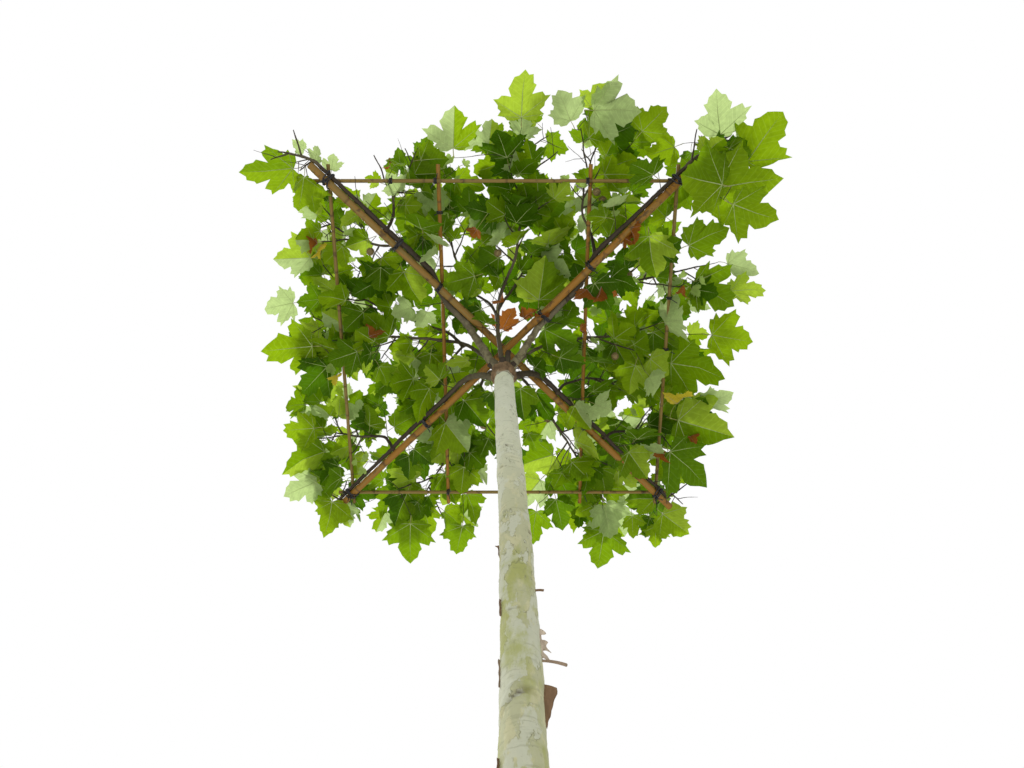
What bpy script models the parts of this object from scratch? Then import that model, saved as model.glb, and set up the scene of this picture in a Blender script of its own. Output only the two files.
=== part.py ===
"""London plane trained as a roof tree: a clear stem, boughs tied out flat, and a square crown.

Metres, +Z up. The origin is the middle of the flat cut under the stem. +X is right and +Y is away,
as the tree is seen from its front. Bearings are degrees in plan, from +X towards +Y.
"""

import math
import random

import bmesh
import bpy
import numpy as np
from mathutils.bvhtree import BVHTree

# Clearances
GAP = 0.0003
CONTACT = 0.0006
LIMB_CLEARANCE = 0.0015
LEAF_CLEARANCE = 0.002

# Stem
STEM_HEIGHT = 2.54
STEM_SIDES = 14
STEM_RADIUS = 0.0355
STEM_TOP_RADIUS = 0.0280
STEM_TOP_SHARE = 0.72
FLARE_WIDTH = 0.024
FLARE_HEIGHT = 0.085
HEAD_Z = 2.478
HEAD_SWELL = 0.014
HEAD_SPREAD = 0.050
STEM_LEAN = -0.0600
STEM_BOW = 0.004
STEM_SWAY = 0.0045
SWAY_HEIGHT = 0.98
SWAY_LENGTH = 1.9

# Heights of the stem's rings: in the flare, up the clear stem (first, last and number), and from HEAD_Z
FLARE_RINGS = (0.0, 0.03, 0.07, 0.13, 0.22)
CLEAR_RINGS = (0.45, 2.36, 7)
HEAD_RINGS = (-0.06, -0.02, 0.025)

# Training frame of canes 1.2 m long, lashed 5 cm in from their ends
FRAME_SIDE = 1.10
FRAME_Z = 2.737
CANE_OVERSHOOT = 0.05
DIAGONAL_CANE_RADIUS = 0.012
SIDE_CANE_RADIUS = 0.006
INNER_CANE_RADIUS = 0.0065
INNER_CANE_X = (-0.205, 0.275)
INNER_CANE_ARCH = 0.021
DIAGONAL_CANE_SIDES = 10
CANE_SIDES = 8

# Crown
CROWN_X = STEM_LEAN - 0.006
HALF = FRAME_SIDE / 2
CORNER = HALF * math.sqrt(2)
LOWEST_LEAF = FRAME_Z - 0.25
HIGHEST_LEAF = FRAME_Z + 0.45
UP = np.array((0.0, 0.0, 1.0))

BOUGH_SIDES = 7
SIDE_BOUGH_SIDES = 5

# Boughs that leave the stem: bearing, reach in plan, height they leave it, distance in plan over which
# they climb to the frame, lift of the tip over the frame, sideways bow, and foot and tip radius.
STEM_BOUGHS = {
    "bough_front_left": (225, CORNER + 0.045, 2.430, 0.17, 0.0, 0.0, 0.0135, 0.0060),
    "bough_front_right": (315, CORNER + 0.040, 2.435, 0.16, 0.0, 0.0, 0.0120, 0.0060),
    "bough_back_left": (135, CORNER + 0.030, 2.420, 0.20, 0.0, 0.0, 0.0105, 0.0055),
    "bough_back_right": (45, CORNER + 0.030, 2.425, 0.20, 0.0, 0.0, 0.0105, 0.0055),
    "bough_front": (273, 0.23, 2.495, 0.20, 0.075, -0.026, 0.0080, 0.0052),
    "bough_left": (182, 0.20, 2.490, 0.17, 0.070, -0.006, 0.0070, 0.0052),
    "bough_right": (359, 0.19, 2.495, 0.17, 0.070, 0.010, 0.0065, 0.0050),
    "bough_back_mid_left": (117, 0.19, 2.475, 0.17, 0.070, 0.008, 0.0065, 0.0050),
    "bough_back_mid_right": (61, 0.19, 2.505, 0.17, 0.070, 0.006, 0.0065, 0.0050),
}

# Steps of a bough, longer outwards by a power, and its taper. A corner bough moves beside its cane, and
# every bough's line from the stem to the crown's middle, over these distances out.
CORNER_BOUGH_STEPS = 16
BOUGH_STEPS = 8
STEP_POWER = 1.25
TAPER_POWER = 0.8
SIDE_LEAD = 0.09
MIDDLE_LEAD = 0.10
NEARBY = 0.08

# Each corner bough lies against its diagonal cane: angle round the cane from its top, near the stem
# and near the corner, and the distances out between which it winds from one to the other.
WINDING = {
    "bough_front_left": (-78, 78, 0.200, 0.425),
    "bough_front_right": (78, -78, 0.275, 0.505),
    "bough_back_left": (74, 78, 0.30, 0.60),
    "bough_back_right": (-76, -80, 0.30, 0.60),
}
WINDING_CLEARANCE = 0.003

# Boughs that leave another bough: parent, share of its length where they leave it, bearing, reach in
# plan, lift of the tip over the frame, and foot and tip radius.
SIDE_BOUGHS = {
    "bough_left_mid": ("bough_left", 0.80, 209, 0.09, 0.090, 0.0050, 0.0042),
    "bough_left_front": ("bough_front_left", 0.59, 192, 0.09, 0.075, 0.0060, 0.0042),
    "bough_left_back": ("bough_back_left", 0.72, 188, 0.09, 0.070, 0.0055, 0.0042),
    "bough_right_front": ("bough_front_right", 0.42, 357, 0.13, 0.095, 0.0075, 0.0048),
    "bough_right_back": ("bough_back_right", 0.66, 4, 0.09, 0.070, 0.0055, 0.0042),
    "bough_front_mid_left": ("bough_front_left", 0.72, 282, 0.07, 0.075, 0.0055, 0.0042),
    "bough_front_mid_right": ("bough_front_right", 0.60, 256, 0.09, 0.085, 0.0060, 0.0042),
    "bough_inner_front_left": ("bough_front", 0.50, 224, 0.08, 0.095, 0.0050, 0.0040),
    "bough_inner_front_right": ("bough_front", 0.62, 312, 0.07, 0.105, 0.0050, 0.0040),
    "bough_inner_back_left": ("bough_left", 0.60, 142, 0.08, 0.105, 0.0048, 0.0040),
    "bough_inner_back_right": ("bough_back_right", 0.38, 352, 0.07, 0.090, 0.0052, 0.0040),
}

# Steps of a side bough, its sway against its reach, and the share of its reach over which it climbs
SIDE_BOUGH_STEPS = 5
SIDE_BOUGH_SWAY = 0.06
SIDE_BOUGH_CLIMB = 0.55

# Masses of foliage: bough whose tip carries it, bearing, reach and rise of its stem, number of twigs,
# length of a twig, number of seed balls, and size of its leaves against the rest.
MASSES = {
    "foliage_corner_front_left": ("bough_front_left", 198, 0.14, 0.02, 3, 0.08, 0, 0.90),
    "foliage_corner_front_right": ("bough_front_right", 12, 0.19, 0.01, 6, 0.09, 0, 1.15),
    "foliage_corner_back_left": ("bough_back_left", 128, 0.06, 0.07, 5, 0.12, 0, 0.95),
    "foliage_corner_back_right": ("bough_back_right", 50, 0.06, 0.07, 5, 0.13, 0, 1.0),
    "foliage_front": ("bough_front", 277, 0.47, 0.14, 10, 0.17, 1, 1.0),
    "foliage_front_left": ("bough_front_mid_left", 306, 0.15, 0.10, 6, 0.14, 0, 0.92),
    "foliage_front_right": ("bough_front_mid_right", 280, 0.27, 0.14, 8, 0.17, 2, 1.0),
    "foliage_left": ("bough_left", 177, 0.50, 0.12, 10, 0.17, 0, 0.97),
    "foliage_left_mid": ("bough_left_mid", 200, 0.48, 0.12, 9, 0.16, 0, 0.92),
    "foliage_left_front": ("bough_left_front", 196, 0.27, 0.13, 6, 0.15, 1, 0.92),
    "foliage_left_back": ("bough_left_back", 172, 0.17, 0.10, 6, 0.16, 0, 0.97),
    "foliage_right": ("bough_right", 1, 0.45, 0.12, 10, 0.17, 1, 1.0),
    "foliage_right_front": ("bough_right_front", 352, 0.33, 0.12, 8, 0.17, 1, 1.05),
    "foliage_right_back": ("bough_right_back", 6, 0.18, 0.10, 7, 0.16, 0, 1.0),
    "foliage_back_left": ("bough_back_mid_left", 117, 0.60, 0.08, 10, 0.17, 1, 1.0),
    "foliage_back_right": ("bough_back_mid_right", 60, 0.60, 0.08, 10, 0.17, 1, 1.0),
    "foliage_inner_front_left": ("bough_inner_front_left", 245, 0.28, 0.14, 7, 0.16, 0, 1.0),
    "foliage_inner_front_right": ("bough_inner_front_right", 304, 0.22, 0.16, 7, 0.16, 1, 1.0),
    "foliage_inner_back_left": ("bough_inner_back_left", 128, 0.26, 0.13, 7, 0.17, 0, 1.05),
    "foliage_inner_back_right": ("bough_inner_back_right", 24, 0.20, 0.13, 7, 0.16, 0, 1.05),
}

# Stem of a mass: it leaves the bough straight and bends at its knee, both as shares of its reach. Where
# it touches something it is tried again, turned and lifted.
STEM_STEPS = 5
STEM_STRAIGHT = 0.15
STEM_KNEE = 0.4
STEM_TRIES = 16
STEM_TURN = 5
STEM_LIFT = 0.008
STEM_TIP_RADIUS = 0.00312

# Twigs: their place along the stem, angle from it, length and bend against the mass's twig length
TWIG_SIDES = 3
TWIG_STEPS = 1
TWIG_TRIES = 8
TWIG_RADIUS = 0.0040
TWIG_TIP_RADIUS = 0.0026
TWIG_SHARE = 0.8
FIRST_TWIG = 0.12
TWIG_SPAN = 0.80
TWIG_TURN = 137.5
TWIG_SWING = 50
TWIG_ANGLE = (48, 74)
TWIG_FLATNESS = 0.7
TWIG_RISE = 0.1
TWIG_LENGTHS = (0.7, 1.15)
TWIG_SHORTENING = 0.2
TWIG_BEND = (-0.03, 0.12)
TWIG_AHEAD = 0.05
SPACE_OVERLAP = 0.045
HEIGHT_SHARE = 1 / 3

# Leaves: where they start along a stem or twig and end, how they stand, and their size
FIRST_STEM_LEAF = 0.45
FIRST_TWIG_LEAF = 0.30
LAST_LEAF = 0.985
LEAF_SPACING = 0.060
LEAF_TRIES = 12
LEAF_SHRINK = 0.02
LEAF_AHEAD = 0.4
LEAF_SIDEWAYS = (0.6, 1.2)
TIP_SIDEWAYS = (-0.5, 0.5)
PETIOLE = 0.030
BLADE = (0.092, 0.148)
BLADE_THICKNESS = 0.0032
LEAF_OUTWARD = 0.25
LEAF_DROOP = (-0.05, 0.60)
LEAF_ROLL = 26

# Outline of a leaf in blade lengths, across, along and up: side lobe, the notch above it, tip, middle
LOBE = (0.57, 0.42, -0.045)
NOTCH = (0.23, 0.62, -0.075)
TIP = (0.0, 1.0, -0.19)
LEAF_MIDDLE = 0.40

# Seed balls
BALL_RADIUS = 0.0135
BALL_STALK = 0.075
BALL_PLACE = 0.42
BALL_SWING = 0.02
STALK_RADIUS = 0.0017

# Ties of black rubber
TIE_THICKNESS = 0.003
TIE_WIDTH = 0.008
TIE_POINTS = 8
CANE_TIES = {
    "tie_front_left_inner": ("bough_front_left", 0.30),
    "tie_front_left_outer": ("bough_front_left", 0.49),
    "tie_front_right_inner": ("bough_front_right", 0.18),
    "tie_front_right_outer": ("bough_front_right", 0.40),
    "tie_back_left": ("bough_back_left", 0.38),
    "tie_back_right": ("bough_back_right", 0.40),
}


def bearing(degrees):
    """Unit direction in plan."""
    turn = math.radians(degrees)
    return np.array((math.cos(turn), math.sin(turn), 0.0))


def unit(vector):
    return vector / np.linalg.norm(vector)


def smooth(share):
    """Eases from 0 to 1."""
    share = np.clip(share, 0.0, 1.0)
    return share * share * (3 - 2 * share)


def rising(share):
    """Goes from 0 to 1, steeply first and level at the end."""
    return np.sin(np.clip(share, 0.0, 1.0) * math.pi / 2)


def tube(points, radii, sides, reference=UP):
    """A closed faceted tube along a path: a ring at each point, square to the path, and flat ends."""
    points = np.asarray(points, float)
    radii = np.broadcast_to(np.asarray(radii, float), (len(points),))
    tangents = np.gradient(points, axis=0)
    tangents /= np.linalg.norm(tangents, axis=1)[:, None]
    side = np.cross(tangents, reference)
    side /= np.linalg.norm(side, axis=1)[:, None]
    top = np.cross(side, tangents)
    turn = (np.arange(sides) + 0.5) * 2 * math.pi / sides
    ring = np.cos(turn)[None, :, None] * side[:, None] + np.sin(turn)[None, :, None] * top[:, None]
    vertices = (points[:, None] + radii[:, None, None] * ring).reshape(-1, 3)
    faces = []
    for row in range(len(points) - 1):
        for k in range(sides):
            a, b = row * sides + k, row * sides + (k + 1) % sides
            faces.append((a, a + sides, b + sides, b))
    faces.append(tuple(range(sides)))
    faces.append(tuple(reversed(range(len(vertices) - sides, len(vertices)))))
    return vertices, faces


def material(name, colour, roughness):
    made = bpy.data.materials.new(name)
    made.use_nodes = True
    shader = made.node_tree.nodes["Principled BSDF"]
    shader.inputs["Base Color"].default_value = (*colour, 1.0)
    shader.inputs["Roughness"].default_value = roughness
    shader.inputs["Metallic"].default_value = 0.0
    made.diffuse_color = (*colour, 1.0)
    return made


def solid(name, shape, finish=None):
    """A closed mesh object with its faces turned outwards."""
    vertices, faces = shape
    mesh = bpy.data.meshes.new(name)
    mesh.from_pydata([tuple(v) for v in vertices], [], faces)
    turned = bmesh.new()
    turned.from_mesh(mesh)
    bmesh.ops.recalc_face_normals(turned, faces=turned.faces)
    turned.to_mesh(mesh)
    turned.free()
    if finish:
        mesh.materials.append(finish)
    made = bpy.data.objects.new(name, mesh)
    bpy.context.scene.collection.objects.link(made)
    return made


def cut_clear(obj, shape):
    """Cuts obj back from a slightly larger copy of the limb that it grows on."""
    cutter = solid(obj.name + "_cutter", shape)
    cutter.hide_render = True
    cutter.display_type = "WIRE"
    cut = obj.modifiers.new("clear_of_parent", "BOOLEAN")
    cut.operation = "DIFFERENCE"
    cut.solver = "EXACT"
    cut.object = cutter


# Stem


def stem_axis(height):
    """Centre of the stem at a height: a slight lean to the left with one slow sway."""
    share = height / STEM_HEIGHT
    wave = math.sin(2 * math.pi * (height - SWAY_HEIGHT) / SWAY_LENGTH)
    sway = STEM_SWAY * wave * smooth(height / SWAY_HEIGHT)
    return np.array((STEM_LEAN * share + sway, STEM_BOW * math.sin(math.pi * share), height))


def stem_radius(height):
    """Straight taper, a root flare that dies away over FLARE_HEIGHT, and a swollen head."""
    taper = STEM_RADIUS + (STEM_TOP_RADIUS - STEM_RADIUS) * height / STEM_HEIGHT
    flare = FLARE_WIDTH * math.exp(-height / FLARE_HEIGHT)
    head = HEAD_SWELL * math.exp(-(((height - HEAD_Z) / HEAD_SPREAD) ** 2))
    return taper + flare + head


def stem_shape(extra=0.0):
    head = HEAD_Z + np.array(HEAD_RINGS)
    heights = np.concatenate((FLARE_RINGS, np.linspace(*CLEAR_RINGS), head, (STEM_HEIGHT,)))
    heights[-1] += extra
    points = np.array([stem_axis(z) for z in heights])
    radii = np.array([stem_radius(z) for z in heights]) + extra
    radii[-1] *= STEM_TOP_SHARE
    vertices, faces = tube(points, radii, STEM_SIDES, reference=np.array((0.0, 1.0, 0.0)))
    vertices[:STEM_SIDES, 2] = 0.0
    return vertices, faces


# Limbs


class Limb:
    """A tapering limb: points and radii along it."""

    def __init__(self, points, radii):
        self.points = np.asarray(points, float)
        self.radii = np.asarray(radii, float)

    def at(self, share):
        """Point and radius at a share of the limb's steps."""
        place = share * (len(self.points) - 1)
        low = min(int(place), len(self.points) - 2)
        part = place - low
        point = self.points[low] * (1 - part) + self.points[low + 1] * part
        return point, self.radii[low] * (1 - part) + self.radii[low + 1] * part

    def along(self, share):
        """Direction at a share of the limb's steps."""
        return unit(self.at(min(share + NEARBY, 1.0))[0] - self.at(max(share - NEARBY, 0.0))[0])

    def length(self):
        return np.linalg.norm(np.diff(self.points, axis=0), axis=1).sum()

    def shape(self, sides, extra=0.0):
        return tube(self.points, self.radii + extra, sides)


def cane_drop(degrees, out):
    """How far a diagonal cane hangs below the frame's level, so that one passes under the other."""
    lowest = 2 * DIAGONAL_CANE_RADIUS + CONTACT if degrees % 180 == 135 else 0.0
    return lowest * np.clip(1 - np.abs(out) / CORNER, 0, 1)


def beside_cane(name, out, radius):
    """Sideways and upward place of a corner bough's centre against its cane, and the cane's level."""
    start, end, first, last = WINDING[name]
    wound = (out - first) / (last - first)
    turn = np.radians(start + (end - start) * smooth(wound))
    crossing = WINDING_CLEARANCE * np.sin(np.clip(wound, 0.0, 1.0) * math.pi)
    away = DIAGONAL_CANE_RADIUS + radius + CONTACT + crossing
    return away * np.sin(turn), away * np.cos(turn), FRAME_Z - cane_drop(STEM_BOUGHS[name][0], out)


def stem_bough(name):
    """A bough from the stem's head: it climbs to the frame, then runs out flat."""
    degrees, reach, leaves_at, climb, lift, bow, foot, tip = STEM_BOUGHS[name]
    steps = CORNER_BOUGH_STEPS if name in WINDING else BOUGH_STEPS
    share = np.linspace(0, 1, steps + 1) ** STEP_POWER
    radii = foot + (tip - foot) * share**TAPER_POWER
    out = share * reach
    if name in WINDING:
        side, top, cane_level = beside_cane(name, out, radii)
        side = side * smooth(out / SIDE_LEAD)
        level = cane_level + top
    else:
        side = bow * np.sin(share * math.pi)
        level = FRAME_Z + lift
    lead = smooth(out / MIDDLE_LEAD)[:, None]
    plan = stem_axis(leaves_at) * (1 - lead) + np.array((CROWN_X, 0.0, 0.0)) * lead
    points = plan + out[:, None] * bearing(degrees) + side[:, None] * bearing(degrees + 90)
    points[:, 2] = leaves_at + (level - leaves_at) * rising(out / climb)
    return Limb(points, radii)


def side_bough(parent, share, degrees, reach, lift, foot, tip):
    """A bough from another one: it rises over the canes in its first half and then runs level."""
    start, _ = parent.at(share)
    along = np.linspace(0, 1, SIDE_BOUGH_STEPS + 1)
    radii = foot + (tip - foot) * along
    sway = SIDE_BOUGH_SWAY * reach * np.sin(along * math.pi)
    points = start + (along * reach)[:, None] * bearing(degrees) + sway[:, None] * bearing(degrees + 90)
    points[:, 2] = start[2] + (FRAME_Z + lift - start[2]) * rising(along / SIDE_BOUGH_CLIMB)
    return Limb(points, radii)


def tree_boughs():
    """Name to limb, for all boughs."""
    boughs = {name: stem_bough(name) for name in STEM_BOUGHS}
    for name, (parent, *facts) in SIDE_BOUGHS.items():
        boughs[name] = side_bough(boughs[parent], *facts)
    return boughs


# Canes


def cane(middle, degrees, radius, out, level):
    points = np.array((*middle, 0.0)) + out[:, None] * bearing(degrees) + level[:, None] * UP
    return Limb(points, np.full(len(out), radius))


def frame_canes():
    """Name to limb. The canes lie across each other in layers, each resting on the one below."""
    corner_reach = CORNER + CANE_OVERSHOOT
    side_reach = HALF + CANE_OVERSHOOT
    bowed = np.array((-corner_reach, -CORNER, 0.0, CORNER, corner_reach))
    arched = np.array((-side_reach, -HALF, -HALF / 2, 0.0, HALF / 2, HALF, side_reach))
    straight = np.array((-side_reach, side_reach))
    level = np.ones(2)
    flat = math.cos(math.pi / CANE_SIDES)
    cross_level = FRAME_Z + DIAGONAL_CANE_RADIUS + SIDE_CANE_RADIUS * flat + GAP
    side_level = cross_level + 2 * SIDE_CANE_RADIUS * flat + GAP
    inner_level = cross_level + (SIDE_CANE_RADIUS + INNER_CANE_RADIUS) * flat + GAP
    arch = INNER_CANE_ARCH * np.clip(1 - (arched / HALF) ** 2, 0, 1)
    centre = (CROWN_X, 0.0)
    canes = {}
    for name, degrees in (("cane_diagonal_upper", 45), ("cane_diagonal_lower", 135)):
        drop = cane_drop(degrees, bowed)
        canes[name] = cane(centre, degrees, DIAGONAL_CANE_RADIUS, bowed, FRAME_Z - drop)
    for name, y in (("cane_front", -HALF), ("cane_back", HALF)):
        canes[name] = cane((CROWN_X, y), 0, SIDE_CANE_RADIUS, straight, cross_level * level)
    for name, x in (("cane_left", -HALF), ("cane_right", HALF)):
        canes[name] = cane((CROWN_X + x, 0.0), 90, SIDE_CANE_RADIUS, straight, side_level * level)
    for name, x in zip(("cane_inner_left", "cane_inner_right"), INNER_CANE_X):
        canes[name] = cane((CROWN_X + x, 0.0), 90, INNER_CANE_RADIUS, arched, inner_level + arch)
    return canes


# Ties


def band_shape(middle, degrees, rounds):
    """A band drawn tight round a bundle, given as circles (across, height, radius) in the plane square
    to the bearing. Each side of the band is a straight line that just clears the furthest circle."""
    across, away = bearing(degrees + 90), bearing(degrees)
    turn = np.arange(TIE_POINTS) * 2 * math.pi / TIE_POINTS
    facing = np.stack((np.cos(turn), np.sin(turn)), 1)
    reach = np.max([facing @ (x, z) + radius for x, z, radius in rounds], axis=0) + CONTACT
    rows = []
    for thick, along in ((0, -1), (1, -1), (1, 1), (0, 1)):
        line = reach + thick * TIE_THICKNESS
        next_line, next_facing = np.roll(line, -1), np.roll(facing, -1, axis=0)
        area = facing[:, 0] * next_facing[:, 1] - facing[:, 1] * next_facing[:, 0]
        x = (line * next_facing[:, 1] - next_line * facing[:, 1]) / area
        z = (next_line * facing[:, 0] - line * next_facing[:, 0]) / area
        rows.append(middle + x[:, None] * across + z[:, None] * UP + along * TIE_WIDTH / 2 * away)
    faces = []
    for row in range(4):
        for k in range(TIE_POINTS):
            a, b, n = row * TIE_POINTS, (row + 1) % 4 * TIE_POINTS, (k + 1) % TIE_POINTS
            faces.append((a + k, a + n, b + n, b + k))
    return np.concatenate(rows), faces


def bundle(limbs, degrees, out):
    """Circles of the limbs where a band at a distance out along the bearing goes round them."""
    across, away = bearing(degrees + 90), bearing(degrees)
    rounds = []
    for limb in limbs:
        points = limb.points - (CROWN_X, 0.0, 0.0)
        distance = points @ away
        for edge in (out - TIE_WIDTH / 2, out + TIE_WIDTH / 2):
            columns = (points @ across, points[:, 2], limb.radii)
            facts = [np.interp(edge, distance, column) for column in columns]
            rounds.append(tuple(facts))
    return rounds


def tree_ties(boughs, canes):
    """Name to shape: round all that crosses at each corner, and round bough and cane in between."""
    centre = np.array((CROWN_X, 0.0, 0.0))
    lean = SIDE_CANE_RADIUS * (math.sqrt(2) - 1) + TIE_WIDTH / 2 + CONTACT
    places = {name.replace("bough", "tie_corner"): (name, CORNER) for name in WINDING}
    ties = {}
    for tie, (name, out) in {**places, **CANE_TIES}.items():
        degrees = STEM_BOUGHS[name][0]
        diagonal = canes["cane_diagonal_lower" if degrees % 180 == 135 else "cane_diagonal_upper"]
        if degrees > 180:
            diagonal = Limb(diagonal.points[::-1], diagonal.radii)
        rounds = bundle((diagonal, boughs[name]), degrees, out)
        if tie in places:
            for crossing in ("cane_front", "cane_left"):
                level = canes[crossing].points[0][2]
                rounds += [(side * lean, level, SIDE_CANE_RADIUS) for side in (-1, 1)]
        ties[tie] = band_shape(centre + out * bearing(degrees), degrees, rounds)
    return ties


# Foliage


class Placed:
    """Everything placed so far, for testing what touches what."""

    def __init__(self):
        self.lows, self.highs, self.trees, self.owners = [], [], [], []
        self.twig_tips, self.blades = [], []

    def add(self, shape, owner):
        vertices, faces = shape
        self.lows.append(vertices.min(0))
        self.highs.append(vertices.max(0))
        self.trees.append(BVHTree.FromPolygons(vertices.tolist(), faces))
        self.owners.append(owner)

    def touches(self, shape, skipped=()):
        """True if the shape's surface crosses anything placed, apart from the owners skipped."""
        vertices, faces = shape
        near = (np.array(self.lows) < vertices.max(0)).all(1)
        near &= (np.array(self.highs) > vertices.min(0)).all(1)
        found = [i for i in np.flatnonzero(near) if self.owners[i] not in skipped]
        if not found:
            return False
        tree = BVHTree.FromPolygons(vertices.tolist(), faces)
        return any(tree.overlap(self.trees[i]) for i in found)


def room(point, taken):
    """Distance in plan to the nearest of the points taken, with heights counted a third."""
    if not taken:
        return 1.0
    apart = np.array(taken) - point
    return float(np.sqrt((apart * apart) @ (1.0, 1.0, HEIGHT_SHARE**2)).min())


def leaf_shape(root, axis, normal, blade):
    """A lobed leaf that arches along its length: six points round it and one under its middle."""
    side = np.cross(axis, normal)
    rim = [(0.0, 0.0, 0.0)]
    for hand, (x, y, z) in ((1, LOBE), (1, NOTCH), (1, TIP), (-1, NOTCH), (-1, LOBE)):
        rim.append((hand * x * blade, PETIOLE + y * blade, z * blade))
    under = (0.0, PETIOLE + LEAF_MIDDLE * blade, LOBE[2] * blade - BLADE_THICKNESS)
    vertices = root + np.array([*rim, under]) @ np.array((side, axis, normal))
    faces = [(0, 5, 1), (1, 4, 2), (1, 5, 4), (2, 4, 3)]
    faces += [(k, (k + 1) % 6, 6) for k in range(6)]
    return vertices, faces


def ball_shape(middle, radius):
    """A seed ball: the twenty faces of an icosahedron."""
    golden = (1 + math.sqrt(5)) / 2
    corners = []
    for a in (-1, 1):
        for b in (-golden, golden):
            corners += [(0, a, b), (a, b, 0), (b, 0, a)]
    ball = bmesh.new()
    for corner in corners:
        ball.verts.new(unit(np.array(corner)))
    bmesh.ops.convex_hull(ball, input=ball.verts)
    ball.verts.index_update()
    vertices = middle + radius * np.array([v.co for v in ball.verts])
    faces = [tuple(v.index for v in face.verts) for face in ball.faces]
    ball.free()
    return vertices, faces


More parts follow.
